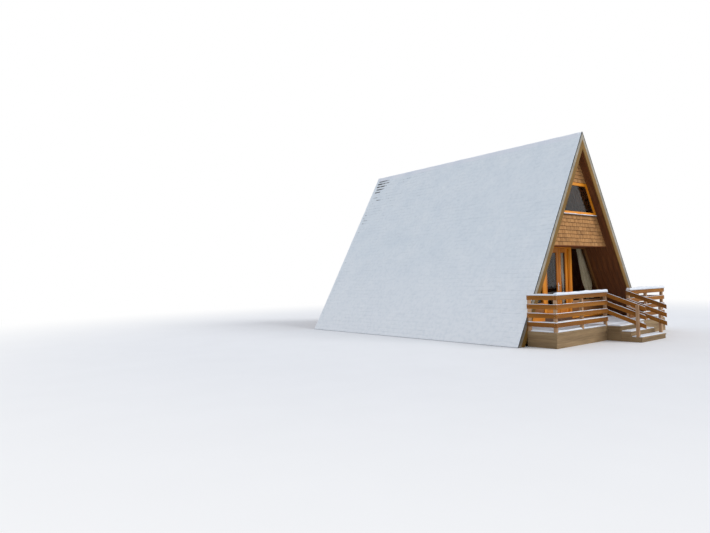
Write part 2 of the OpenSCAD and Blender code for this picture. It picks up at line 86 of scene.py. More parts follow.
def slope_x(z, d):
    """Half the width between the planes that lie d inside the roof's faces."""
    return (RIDGE - z) / TAN - d / SIN


def slope_z(x, d):
    """Height, x from the middle, of the planes that lie d inside the roof's faces."""
    return RIDGE - (x + d / SIN) * TAN


def layer(d0, d1):
    """Right-hand layer of the roof: foot outside, foot inside, head inside, head outside."""
    head = [(HAIR, slope_z(HAIR, d)) for d in (d1, d0)]
    return [(slope_x(0, d0), 0), (slope_x(0, d1), 0), *head]


# Node trees


def linear(hex_colour):
    """sRGB hex to the linear colour that a shader takes."""
    parts = [int(hex_colour[i : i + 2], 16) / 255 for i in (1, 3, 5)]
    return [p / 12.92 if p <= 0.04045 else ((p + 0.055) / 1.055) ** 2.4 for p in parts] + [1.0]


def add(tree, kind, settings=None, inputs=None):
    """Adds a node, sets its properties, and gives each input a value, a node or a socket.
    A list of inputs fills the sockets in order, and sockets that share a name go by number.
    The stops of a colour ramp are (place, hex) pairs."""
    node = tree.nodes.new(kind)
    for key, value in (settings or {}).items():
        if key == "stops":
            spots = node.color_ramp.elements
            while len(spots) < len(value):
                spots.new(0.5)
            for spot, (place, colour) in zip(spots, value):
                spot.position, spot.color = place, linear(colour)
        else:
            setattr(node, key, value)
    for key, value in (enumerate(inputs) if isinstance(inputs, list) else (inputs or {}).items()):
        if isinstance(value, bpy.types.Node):
            value = value.outputs[0]
        if isinstance(value, bpy.types.NodeSocket):
            tree.links.new(value, node.inputs[key])
        else:
            node.inputs[key].default_value = value
    return node


def material(name, own_map=False):
    """Empty material, its node tree, and the place that its pattern follows: the piece's own
    map, in metres along the grain or the threads, or else Object coordinates."""
    made = bpy.data.materials.new(name)
    made.use_nodes = True
    tree = made.node_tree
    tree.nodes.clear()
    if own_map:
        return made, tree, add(tree, "ShaderNodeUVMap", {"uv_map": "grain"}).outputs[0]
    return made, tree, add(tree, "ShaderNodeTexCoord").outputs["Object"]


def close(tree, height, strength, distance, inputs):
    """Ends a material in its shader, with a surface that rises and falls by height."""
    lift = {"Strength": strength, "Distance": distance, "Height": height}
    inputs["Normal"] = add(tree, "ShaderNodeBump", inputs=lift)
    shader = add(tree, "ShaderNodeBsdfPrincipled", inputs=inputs)
    add(tree, "ShaderNodeOutputMaterial", inputs={"Surface": shader})


def streaks(tree, place, scale, shift=0.0, detail=4.0, rough=0.55):
    """Streaks or clouds with a scale for each axis, and their own place in the pattern."""
    mapped = add(tree, "ShaderNodeMapping", inputs={"Vector": place, "Scale": scale})
    return add(
        tree, "ShaderNodeTexNoise", {"noise_dimensions": "4D"},
        {"Vector": mapped, "W": shift, "Scale": 1.0, "Detail": detail, "Roughness": rough},
    )


def blend(tree, one, share, other):
    """Share of one pattern and the rest of another."""
    rest = add(tree, "ShaderNodeMath", {"operation": "MULTIPLY"}, [other, 1 - share])
    return add(tree, "ShaderNodeMath", {"operation": "MULTIPLY_ADD"}, [one, share, rest])


def timber(name, dark, mid, light, rough=0.6, coat=0.0, fibre=90.0, knots=0.0, axis=None, butt=0.0):
    """Wood under stain. Fibres about 11 mm apart, coarser than real ones so that they show,
    broad waves of colour, knots, and a shade of its own for each board. The grain follows the
    board's own map, or the axis that is given."""
    made, tree, place = material(name, own_map=axis is None)
    tint = add(tree, "ShaderNodeAttribute", {"attribute_name": "tint"}).outputs["Fac"]
    shift = add(tree, "ShaderNodeMath", {"operation": "MULTIPLY"}, [tint, 53.0])
    along = "xyz".index(axis or "x")
    fibres, waves = [fibre] * 3, [8.0] * 3
    fibres[along], waves[along] = 2.2, 0.7
    fine = streaks(tree, place, fibres, shift, 5.0, 0.62)
    wide = streaks(tree, place, waves, shift, 3.0)
    both = blend(tree, fine, 0.55, wide)
    colour = add(
        tree, "ShaderNodeValToRGB", {"stops": [(0.34, dark), (0.5, mid), (0.64, light)]}, [both]
    ).outputs[0]
    if knots:
        # Knots lie about 0.8 m apart along the board and 110 mm across
        apart = add(tree, "ShaderNodeMapping", inputs={"Vector": place, "Scale": (1.3, 9.0, 9.0)})
        near = add(
            tree, "ShaderNodeTexVoronoi", {"voronoi_dimensions": "4D"},
            {"Vector": apart, "W": shift, "Scale": 1.0},
        ).outputs["Distance"]
        knot = add(
            tree, "ShaderNodeMapRange",
            inputs={"Value": near, "From Min": 0.05, "From Max": 0.13, "To Min": knots, "To Max": 0.0},
        )
        colour = add(
            tree, "ShaderNodeMix", {"data_type": "RGBA", "blend_type": "MULTIPLY"},
            {0: knot, 6: colour, 7: linear(dark)},
        ).outputs[2]
    if butt:
        # Shingles darken at the butt, partly where the end grain stays wet and partly as painted shade
        # of the joint between courses
        start = add(tree, "ShaderNodeSeparateXYZ", inputs=[place]).outputs[0]
        wet_and_shaded_butt = add(
            tree, "ShaderNodeMapRange", {"interpolation_type": "SMOOTHSTEP"},
            {"Value": start, "From Min": butt * 0.3, "From Max": butt, "To Min": 0.85, "To Max": 0.0},
        )
        colour = add(
            tree, "ShaderNodeMix", {"data_type": "RGBA"}, {0: wet_and_shaded_butt, 6: colour, 7: linear("#4A3018")}
        ).outputs[2]
    value = add(tree, "ShaderNodeMath", {"operation": "MULTIPLY_ADD"}, [tint, 0.34, 0.83])
    shade = add(tree, "ShaderNodeHueSaturation", inputs={"Value": value, "Color": colour})
    gloss = add(tree, "ShaderNodeMath", {"operation": "MULTIPLY_ADD"}, [fine, 0.2, rough - 0.1])
    surface = {"Base Color": shade, "Roughness": gloss, "Specular IOR Level": 0.3}
    close(tree, fine, 0.3, 0.0015, {**surface, "Coat Weight": coat, "Coat Roughness": 0.25})
    return made


def slid(tree, place, soft, colour):
    """Colour of thin snow on the roof: faint lines of painted shade along the courses, dashes where it
    has slid, and a white foot."""
    own_map = add(tree, "ShaderNodeUVMap", {"uv_map": "grain"})
    spot = add(tree, "ShaderNodeSeparateXYZ", inputs=[own_map]).outputs
    bare = add(tree, "ShaderNodeAttribute", {"attribute_name": "bare"}).outputs["Fac"]
    # The courses' lines of painted shade wander by 20 mm or so under the snow
    sway = streaks(tree, place, [1.9] * 3, 4.0, 4.0)
    wander = add(tree, "ShaderNodeMath", {"operation": "MULTIPLY_ADD"}, [sway, 0.07, -0.035])
    up_slope = add(tree, "ShaderNodeMath", {"operation": "ADD"}, [spot[0], wander])
    courses = add(tree, "ShaderNodeMath", {"operation": "DIVIDE"}, [up_slope, COURSE])
    past = add(tree, "ShaderNodeMath", {"operation": "ADD"}, [courses, 0.02])
    from_butt = add(tree, "ShaderNodeMath", {"operation": "PINGPONG"}, [past, 0.5])
    reach = add(tree, "ShaderNodeMath", {"operation": "MULTIPLY_ADD"}, [bare, 0.3, 0.14])
    butt = add(
        tree, "ShaderNodeMapRange", {"interpolation_type": "SMOOTHSTEP"},
        {"Value": from_butt, "From Min": 0.03, "From Max": reach, "To Min": 1.0, "To Max": 0.0},
    )
    # Dashes run along a course, each row with its own
    row = add(tree, "ShaderNodeMath", {"operation": "ROUND"}, [courses])
    along = add(tree, "ShaderNodeCombineXYZ", inputs=[row, spot[1]])
    dash = streaks(tree, along, [3.7, 2.2, 1.0], 0.0, 5.0, 0.65)
    slipped = add(tree, "ShaderNodeMath", {"operation": "MULTIPLY_ADD"}, [bare, 0.42, dash])
    patch = add(
        tree, "ShaderNodeMapRange", inputs={"Value": slipped, "From Min": 0.68, "From Max": 0.80}
    )
    shown = add(tree, "ShaderNodeMath", {"operation": "MULTIPLY", "use_clamp": True}, [patch, butt])
    veil = streaks(tree, place, [0.55] * 3, 9.0, 3.0, 0.6)
    faint = add(
        tree, "ShaderNodeMapRange",
        inputs={"Value": veil, "From Min": 0.40, "From Max": 0.62, "To Min": 0.0, "To Max": 0.22},
    )
    broken = add(
        tree, "ShaderNodeMapRange", inputs={"Value": dash, "From Min": 0.44, "From Max": 0.64}
    )
    faint = add(tree, "ShaderNodeMath", {"operation": "MULTIPLY_ADD"}, [bare, 0.45, faint])
    painted_shade_traces = add(tree, "ShaderNodeMath", {"operation": "MULTIPLY"}, [faint, broken])
    # Painted shade under each course's step
    line = add(tree, "ShaderNodeMath", {"operation": "MULTIPLY", "use_clamp": True}, [butt, painted_shade_traces])
    # Lighter towards the foot of the slope
    low_down = add(
        tree, "ShaderNodeMapRange",
        inputs={"Value": spot[0], "From Min": 0.0, "From Max": 3.6, "To Min": 0.75, "To Max": 0.0},
    )
    patchy = add(
        tree, "ShaderNodeMapRange",
        inputs={"Value": soft, "From Min": 0.45, "From Max": 0.7, "To Max": 0.28},
    )
    layers = ((low_down, "#F6F9FB"), (patchy, "#CBD6DF"), (line, "#98A2AC"), (shown, "#3E3A39"))
    for share, tone in layers:
        colour = add(
            tree, "ShaderNodeMix", {"data_type": "RGBA"}, {0: share, 6: colour, 7: linear(tone)}
        ).outputs[2]
    return colour


def snow(name, roof=False):
    """Settled snow: near white with a painted bluish tint of skylight in shade, matt, with soft lumps
    and a crust of grains drawn at 9 mm, since real ones are too fine to show. On the roof it is thin
    and follows the courses, whose steps get faint lines of painted shade, and where it has slid the
    dark covering shows in dashes under each butt."""
    made, tree, place = material(name)
    lumps = streaks(tree, place, [1.6] * 3, 0.0, 3.0)
    grains = streaks(tree, place, [110.0] * 3, 2.0, 2.0)
    soft = streaks(tree, place, [9.0 if roof else 14.0] * 3, 5.0, 4.0)
    # The blue in these whites is painted skylight shade
    tones = ["#E3ECF2", "#E8F0F5", "#ECF3F7"] if roof else ["#DFE6EF", "#E8EDF4", "#EFF2F6"]
    colour = add(
        tree, "ShaderNodeValToRGB", {"stops": list(zip((0.3, 0.5, 0.7), tones))}, [lumps]
    ).outputs[0]
    height = add(tree, "ShaderNodeMath", {"operation": "MULTIPLY_ADD"}, [soft, 3.0, grains])
    if roof:
        colour = slid(tree, place, soft, colour)
    surface = {"Base Color": colour, "Roughness": 0.85, "Specular IOR Level": 0.3}
    close(tree, height, 0.5, 0.004, surface)
    return made


def mottled(name, stops, scale, rough, metallic=0.0, bump=0.2, distance=0.001):
    """Even material with patches of tone and a fine surface, from Object coordinates."""
    made, tree, place = material(name)
    tone = streaks(tree, place, [scale] * 3, 0.0, 6.0, 0.65)
    fine = streaks(tree, place, [scale * 22] * 3, 3.0, 3.0)
    both = blend(tree, fine, 0.25, tone)
    colour = add(tree, "ShaderNodeValToRGB", {"stops": list(zip((0.36, 0.5, 0.64), stops))}, [both])
    gloss = add(tree, "ShaderNodeMath", {"operation": "MULTIPLY_ADD"}, [tone, 0.25, rough - 0.125])
    surface = {"Base Color": colour, "Roughness": gloss, "Metallic": metallic}
    close(tree, both, bump, distance, surface)
    return made


def float_glass(name):
    """Insulating glass: clear and smooth, with the slow waves of two panes. Its IOR is set low,
    so that the panes stay as dark as they look in the photograph."""
    made, tree, place = material(name)
    waves = streaks(tree, place, [1.3] * 3, 0.0, 1.0)
    film = streaks(tree, place, [5.0] * 3, 4.0, 5.0)
    gloss = add(tree, "ShaderNodeMath", {"operation": "MULTIPLY"}, [film, 0.05])
    surface = {"Base Color": linear("#F2F4F2"), "Roughness": gloss, "IOR": 1.22}
    close(tree, waves, 0.25, 0.01, {**surface, "Transmission Weight": 1.0})
    return made


def bitumen(name):
    """Bitumen shingles: tabs of 330 mm in courses of 145 mm, and mineral grit drawn at 8 mm,
    since the real 1 mm grains are too fine."""
    made, tree, place = material(name)
    spot = add(tree, "ShaderNodeSeparateXYZ", inputs=[place]).outputs
    up_slope = add(tree, "ShaderNodeMath", {"operation": "DIVIDE"}, [spot[2], SIN])
    laid = add(tree, "ShaderNodeCombineXYZ", inputs=[spot[1], up_slope])
    tones = zip(("Color1", "Color2", "Mortar"), map(linear, ("#585B60", "#6C6F74", "#2C2D30")))
    sizes = {"Scale": 1.0, "Mortar Size": 0.004, "Brick Width": 0.33, "Row Height": COURSE}
    tabs = add(tree, "ShaderNodeTexBrick", inputs={"Vector": laid, **dict(tones), **sizes})
    grit = streaks(tree, place, [130.0] * 3, 0.0, 2.0)
    speckle = add(
        tree, "ShaderNodeValToRGB", {"stops": [(0.3, "#3C3E42"), (0.7, "#7B7E83")]}, [grit]
    )
    colour = add(
        tree, "ShaderNodeMix", {"data_type": "RGBA"}, {0: 0.5, 6: tabs.outputs[0], 7: speckle}
    ).outputs[2]
    close(tree, grit, 0.5, 0.002, {"Base Color": colour, "Roughness": 0.9})
    return made


def planked(name, dark, light, width, axis):
    """Wood surface with board joints drawn in the pattern, for faces inside the house."""
    made, tree, place = material(name)
    spot = add(tree, "ShaderNodeSeparateXYZ", inputs=[place]).outputs
    along, across = (spot[1], spot[0]) if axis == "y" else (spot[0], spot[1])
    laid = add(tree, "ShaderNodeCombineXYZ", inputs=[along, across])
    tones = zip(("Color1", "Color2", "Mortar"), map(linear, (dark, light, "#2A1A10")))
    sizes = {"Scale": 1.0, "Mortar Size": 0.003, "Brick Width": 2.4, "Row Height": width}
    boards = add(tree, "ShaderNodeTexBrick", inputs={"Vector": laid, **dict(tones), **sizes})
    fibres = [70.0] * 3
    fibres["xyz".index(axis)] = 2.0
    fine = streaks(tree, place, fibres, 0.0, 5.0)
    grain = add(tree, "ShaderNodeValToRGB", {"stops": [(0.35, dark), (0.65, light)]}, [fine])
    colour = add(
        tree, "ShaderNodeMix", {"data_type": "RGBA"}, {0: 0.35, 6: boards.outputs[0], 7: grain}
    ).outputs[2]
    close(tree, fine, 0.2, 0.001, {"Base Color": colour, "Roughness": 0.5})
    return made


def cloth(name, dark, light):
    """Woven linen: warp and weft drawn at 7 mm, since the real 1 mm threads are too fine."""
    made, tree, place = material(name, own_map=True)
    threads = [
        add(
            tree, "ShaderNodeTexWave", {"bands_direction": way},
            {"Vector": place, "Scale": 45.0, "Distortion": 1.5, "Detail": 2.0},
        )
        for way in ("X", "Y")
    ]
    weave = add(tree, "ShaderNodeMath", {"operation": "MAXIMUM"}, threads)
    slub = streaks(tree, place, [30.0, 4.0, 1.0], 0.0, 4.0)
    shade = blend(tree, slub, 0.7, weave)
    colour = add(tree, "ShaderNodeValToRGB", {"stops": [(0.3, dark), (0.7, light)]}, [shade])
    surface = {"Base Color": colour, "Roughness": 0.9, "Sheen Weight": 0.3, "Sheen Roughness": 0.5}
    close(tree, weave, 0.3, 0.001, surface)
    return made


# Pine under an orange glaze: warm, half glossy, with knots
JOINERY = timber("stained_pine_joinery", "#B8620A", "#E08A10", "#F2A21E", 0.45, 0.15, knots=0.5)
# Raked members and window heads under the roof's edge: the same pine, darkened to brown as painted
# shade of the roof's edge, and dull
RAKED = timber("brown_raked_member", "#5A3A1C", "#72491F", "#8A602F", 0.6, knots=0.3)
# Door leaves and head board in the glaze, a shade deeper; on the head board the deeper tone is painted
# shade under the panel
LEAF_WOOD = timber("stained_pine_leaf", "#A45307", "#C7750B", "#D78A15", 0.45, 0.15, knots=0.5)
# Sills worn by water: paler, greyer and more matt than the frames
SILL_WOOD = timber("worn_window_sill", "#94683F", "#B27F52", "#C4935F", 0.65, knots=0.3)
# Groove between door post and stop: dark brown as painted shade in the recess
JOINERY_SHADE = timber("stained_pine_rebate", "#6E3A0A", "#8E4E10", "#A45E16", 0.6)
# Barge boards: olive brown, the stained wood darkened as painted shade of the verge, dull
BARGE = timber("stained_barge_board", "#5E4517", "#7A5A22", "#926D30", 0.65, knots=0.4)
# Rail boards, sawn and stained brown: matt, with many knots
RAIL = timber("stained_rail_board", "#6C400C", "#895412", "#A46C20", 0.7, knots=0.6)
# Planed larch left bare: pale, between pink and brown
POST = timber("planed_larch_post", "#8F6A48", "#B08A66", "#C8A684", 0.7, knots=0.5)
# Boards under the windows: brown stain with a slight sheen
PARAPET_WOOD = timber("brown_stained_board", "#6E431E", "#8C5A2C", "#A06C3A", 0.6, 0.05, knots=0.4)
# Lining of the slopes: dark stain, deep brown in the porch's shade
LINING = timber("dark_stained_lining", "#432410", "#623719", "#7C4D26", 0.6, knots=0.3)
# Porch ceiling: red brown under a thin coat of varnish
SOFFIT = timber("stained_soffit_board", "#6A3512", "#8E4C1C", "#A86228", 0.55, 0.1, knots=0.3)
# Sawn cedar: honey brown, matt, with a dark butt on each shingle, partly wet end grain and partly
# painted shade of the course joint
SHINGLE = timber("sawn_cedar_shingle", "#8C6034", "#AC7C4A", "#C0925E", 0.85, fibre=60.0, butt=0.014)
# Ledges near black: a dark line under the snow
LEDGE_WOOD = timber("dark_stained_ledge", "#33200F", "#4A3018", "#5E4024", 0.6)
# Deck boards that sun and rain have greyed: no gloss
DECKING = timber("weathered_decking", "#6E5A44", "#8C7658", "#A28C6C", 0.8, knots=0.5)
# Steps and skirt of the same boards, a little browner
STEP = timber("weathered_step_board", "#6C583E", "#8A7252", "#9E8766", 0.8, knots=0.4)
# Oiled oak: dark, smooth underfoot, with a faint shine
THRESHOLD = timber("oak_threshold", "#3C2616", "#5C3C24", "#70502F", 0.5, 0.1)
# Rough sawn beams under the deck: brown and dull
BEARER = timber("sawn_bearer", "#5C4630", "#7A5E40", "#927450", 0.85, axis="x")
# Rough sawn rafters, never stained: pale
RAFTER = timber("sawn_rafter", "#8A6A44", "#A9855A", "#C09A6C", 0.85, axis="x")
# Snow as it fell and settled: white with a painted blue tint of skylight in shade, and soft lumps
SNOW = snow("settled_snow")
# A thin layer of it, through which the courses show, with faint lines of painted shade along them
ROOF_SNOW = snow("thin_roof_snow", roof=True)
# Drawn flat and clear: the room's dark shows through
GLASS = float_glass("float_glass")
# Felt with mineral grit: dark grey, matt and grainy
COVERING = bitumen("bitumen_shingle")
# Cut edge of the felt, without grit: near black
FELT = mottled("bitumen_edge_strip", ["#2A2C2F", "#3A3D41", "#4C4F53"], 6.0, 0.85)
# Rolled zinc, weathered before it was folded: warm grey with a soft sheen, its tone partly its own and
# partly darkened as painted shade of the verge
VERGE = mottled("preweathered_zinc", ["#7E7A70", "#969083", "#AAA498"], 3.0, 0.55, 0.6)
# Brushed and anodised aluminium: pale, with blurred reflections
ALUMINIUM = mottled("satin_aluminium", ["#D6D4CE", "#E0DED9", "#E8E6E2"], 20.0, 0.38, 0.85, 0.05)
# Zinc plated steel: grey metal, clouded by its fine crystals
STEEL = mottled("zinc_plated_steel", ["#8E8F8E", "#A5A6A5", "#BDBEBC"], 30.0, 0.4, 1.0, 0.1)
# Extruded rubber: black with a dull shine
GASKET = mottled("black_glazing_seal", ["#131313", "#1C1C1C", "#262626"], 40.0, 0.6)
# Concrete cast against boards: grey, matt and slightly uneven
CONCRETE = mottled("cast_concrete", ["#77756F", "#8F8D87", "#A5A39C"], 2.5, 0.9, 0.0, 0.4, 0.003)
# Varnished floor boards 120 mm wide: warm brown with a low shine
FLOORING = planked("varnished_floor_board", "#8A5C34", "#A87646", 0.12, "y")
# Stained boards 100 mm wide under the upper floor: red brown
CEILING_WOOD = planked("stained_ceiling_board", "#5C3420", "#7A4A2C", 0.1, "x")
# Plain weave of undyed flax: khaki, matt, with slubs
LINEN = cloth("khaki_linen", "#BBA888", "#E6D8BC")
# The same weave, half bleached
PALE_LINEN = cloth("pale_linen", "#BFB0A0", "#E0D4C6")

# Closed forms


def same(ends):
    """The form as it is."""
    return ends


def mirrored(ends):
    """The same form on the other side of the house."""
    return [[(-x, y, z) for x, y, z in end] for end in ends]


def turned(ends):
    """The same form at the other gable."""
    return [[(-x, -y, z) for x, y, z in end] for end in ends]


def outward(mesh):
    """Turns the faces of a closed form outwards."""
    shell = bmesh.new()
    shell.from_mesh(mesh)
    bmesh.ops.recalc_face_normals(shell, faces=shell.faces)
    shell.to_mesh(mesh)
    shell.free()


def box(x0, x1, y0, y1, z0, z1, along="x"):
    """Ends of a straight board whose grain runs along one axis."""
    low, high = (x0, y0, z0), (x1, y1, z1)
    a = "xyz".index(along)
    b, c = [i for i in range(3) if i != a]
    ends = []
    for value in (low[a], high[a]):
        end = []
        for p, q in ((0, 0), (1, 0), (1, 1), (0, 1)):
            corner = [0.0, 0.0, 0.0]
            corner[a], corner[b], corner[c] = value, (low, high)[p][b], (low, high)[q][c]
            end.append(tuple(corner))
        ends.append(end)
    return ends


def flat_y(a, b, c, d, y0, y1):
    """Board drawn in X and Z: its grain runs from the end a-b to the end d-c."""
    return [
        [(p[0], y0, p[1]), (q[0], y0, q[1]), (q[0], y1, q[1]), (p[0], y1, p[1])]
        for p, q in ((a, b), (d, c))
    ]


def flat_x(a, b, c, d, x0, x1):
    """Board drawn in Y and Z."""
    return [
        [(x0, p[0], p[1]), (x0, q[0], q[1]), (x1, q[0], q[1]), (x1, p[0], p[1])]
        for p, q in ((a, b), (d, c))
    ]


def finished(name, mesh, body, replaces=(), bevel=0.0, smooth=False, segments=2):
    """Piece made of a mesh, with its body and the CAD nodes that it replaces."""
    obj = bpy.data.objects.new(name, mesh)
    bpy.context.scene.collection.objects.link(obj)
    if smooth:
        mesh.shade_smooth()
    else:
        mesh.shade_flat()
    if bevel:
        edges = obj.modifiers.new("eased_edges", "BEVEL")
        edges.width, edges.segments = bevel, segments
        edges.limit_method, edges.angle_limit = "ANGLE", math.radians(30)
    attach(obj, body)
    if replaces:
        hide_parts(*replaces)
    return obj


class Boards:
    """Boards gathered into one mesh, with a map in metres along the grain and a tint for each."""

    def __init__(self, seed):
        self.random = random.Random(seed)
        self.points, self.faces, self.maps, self.tints, self.kinds = [], [], [], [], []

    def plank(self, ends, kind=0):
        """One board between two four-sided ends."""
        base = len(self.points)
        start, end = ([Vector(p) for p in e] for e in ends)
        self.points += [tuple(p) for p in start + end]
        middle = sum(start, Vector()) / 4
        way = (sum(end, Vector()) / 4 - middle).normalized()
        sides = [(start[(k + 1) % 4] - start[k]).length for k in range(4)]
        shift, slide = self.random.uniform(0, 9), self.random.uniform(0, 9)
        tint = self.random.random()
        around = 0.0
        for k in range(4):
            n = (k + 1) % 4
            self.faces.append([base + k, base + n, base + 4 + n, base + 4 + k])
            for point, v in (
                (start[k], around),
                (start[n], around + sides[k]),
                (end[n], around + sides[k]),
                (end[k], around),
            ):
                self.maps += [slide + (point - middle).dot(way), shift + v]
            around += sides[k]
        for end_face, order in ((start, (3, 2, 1, 0)), (end, (4, 5, 6, 7))):
            self.faces.append([base + i for i in order])
            e1 = (end_face[1] - end_face[0]).normalized()
            e2 = (end_face[3] - end_face[0]).normalized()
            for i in order:
                point = end_face[i % 4] - end_face[0]
                self.maps += [slide + 0.3 * point.dot(e2), shift + point.dot(e1)]
        self.tints += [tint] * 24
        self.kinds += [kind] * 6

    def planks(self, *all_ends, both=False, kind=0):
        """Several boards, or the same on both sides of the house."""
        for ends in all_ends:
            self.plank(ends, kind)
            if both:
                self.plank(mirrored(ends), kind)

    def ring(self, outer, inner, y0, y1, kinds=(0, 0, 0, 0), how=same):
        """Mitred frame between two outlines in X and Z."""
        n = len(outer)
        for i in range(n):
            j = (i + 1) % n
            self.plank(how(flat_y(outer[i], inner[i], inner[j], outer[j], y0, y1)), kinds[i])

    def tube(self, x, y, z0, z1, r, count=14):
        """Upright round bar."""
        base = len(self.points)
        turns = [2 * math.pi * k / count for k in range(count)]
        for z in (z0, z1):
            self.points += [(x + r * math.cos(t), y + r * math.sin(t), z) for t in turns]
        for k in range(count):
            n = (k + 1) % count
            self.faces.append([base + k, base + n, base + count + n, base + count + k])
            self.maps += [0, k / count, 0, (k + 1) / count, 1, (k + 1) / count, 1, k / count]
        for order in (range(count - 1, -1, -1), range(count, 2 * count)):
            self.faces.append([base + i for i in order])
            self.maps += [0.5, 0.5] * count
        self.tints += [0.5] * (6 * count)
        self.kinds += [0] * (count + 2)

    def mesh(self, name, materials):
        """All boards as one mesh, with their maps, tints and materials."""
        mesh = bpy.data.meshes.new(name)
        mesh.from_pydata(self.points, [], self.faces)
        mesh.uv_layers.new(name="grain").data.foreach_set("uv", self.maps)
        mesh.attributes.new("tint", "FLOAT", "CORNER").data.foreach_set("value", self.tints)
        mesh.polygons.foreach_set("material_index", self.kinds)
        for one in materials:
            mesh.materials.append(one)
        outward(mesh)
        return mesh

    def piece(self, name, body, slot, materials, replaces=(), bevel=0.003):
        """Finished piece of all the boards."""
        return finished(name, self.mesh(name, materials), body, replaces, bevel)


def dressed(node, name, finish, bevel):
    """Copy of a CAD solid with its corners merged and its edges eased."""
    shell = bmesh.new()
    shell.from_mesh(NODES[node].data)
    bmesh.ops.remove_doubles(shell, verts=shell.verts, dist=1e-5)
    flat = math.radians(1)
    bmesh.ops.dissolve_limit(shell, angle_limit=flat, verts=shell.verts, edges=shell.edges)
    mesh = bpy.data.meshes.new(name)
    shell.to_mesh(mesh)
    shell.free()
    mesh.materials.append(finish)
    return finished(name, mesh, NODES[node]["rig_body"], [node], bevel)


# What repeats


def group(name, inputs):
    """Geometry tree with named inputs, and the sockets that give them."""
    tree = bpy.data.node_groups.new(name, "GeometryNodeTree")
    tree.interface.new_socket("Geometry", in_out="INPUT", socket_type="NodeSocketGeometry")
    for label, kind in inputs:
        tree.interface.new_socket(label, in_out="INPUT", socket_type="NodeSocket" + kind)
    tree.interface.new_socket("Geometry", in_out="OUTPUT", socket_type="NodeSocketGeometry")
    return tree, add(tree, "NodeGroupInput").outputs


def end_group(tree, geometry, finish):
    """Ends a tree in plain geometry that has its finish."""
    whole = add(tree, "GeometryNodeRealizeInstances", inputs={"Geometry": geometry})
    coated = add(tree, "GeometryNodeSetMaterial", inputs={"Geometry": whole, "Material": finish})
    add(tree, "NodeGroupOutput", inputs=[coated])


def varied(tree, copies, shade_seed, nudge_seed, low, high):
    """Gives each copy a shade of its own, and a small shift between low and high."""
    shade = add(
        tree, "FunctionNodeRandomValue", {"data_type": "FLOAT"}, {2: 0.0, 3: 1.0, "Seed": shade_seed}
    )
    shaded = add(
        tree, "GeometryNodeStoreNamedAttribute", {"data_type": "FLOAT", "domain": "INSTANCE"},
        {"Geometry": copies, "Name": "tint", "Value": shade.outputs[1]},
    )
    nudge = add(
        tree, "FunctionNodeRandomValue", {"data_type": "FLOAT_VECTOR"},
        {0: low, 1: high, "Seed": nudge_seed},
    )
    return add(
        tree, "GeometryNodeTranslateInstances", inputs={"Instances": shaded, "Translation": nudge}
    )


def row_tree():
    """Copies of one board, side by side, each a shade and a hair's breadth different."""
    tree, given = group(
        "board_row", [("Count", "Int"), ("Step", "Vector"), ("Seed", "Int"), ("Finish", "Material")]
    )
    line = add(
        tree, "GeometryNodeMeshLine", {"mode": "OFFSET"},
        {"Count": given["Count"], "Offset": given["Step"]},
    )
    copies = add(
        tree, "GeometryNodeInstanceOnPoints", inputs={"Points": line, "Instance": given["Geometry"]}
    )
    other_seed = add(tree, "ShaderNodeMath", {"operation": "ADD"}, [given["Seed"], 7.0])
    jog = ((0.0, -0.0004, -0.0008), (0.0, 0.0004, 0.0))
    moved = varied(tree, copies, given["Seed"], other_seed, *jog)
    end_group(tree, moved, given["Finish"])
    return tree


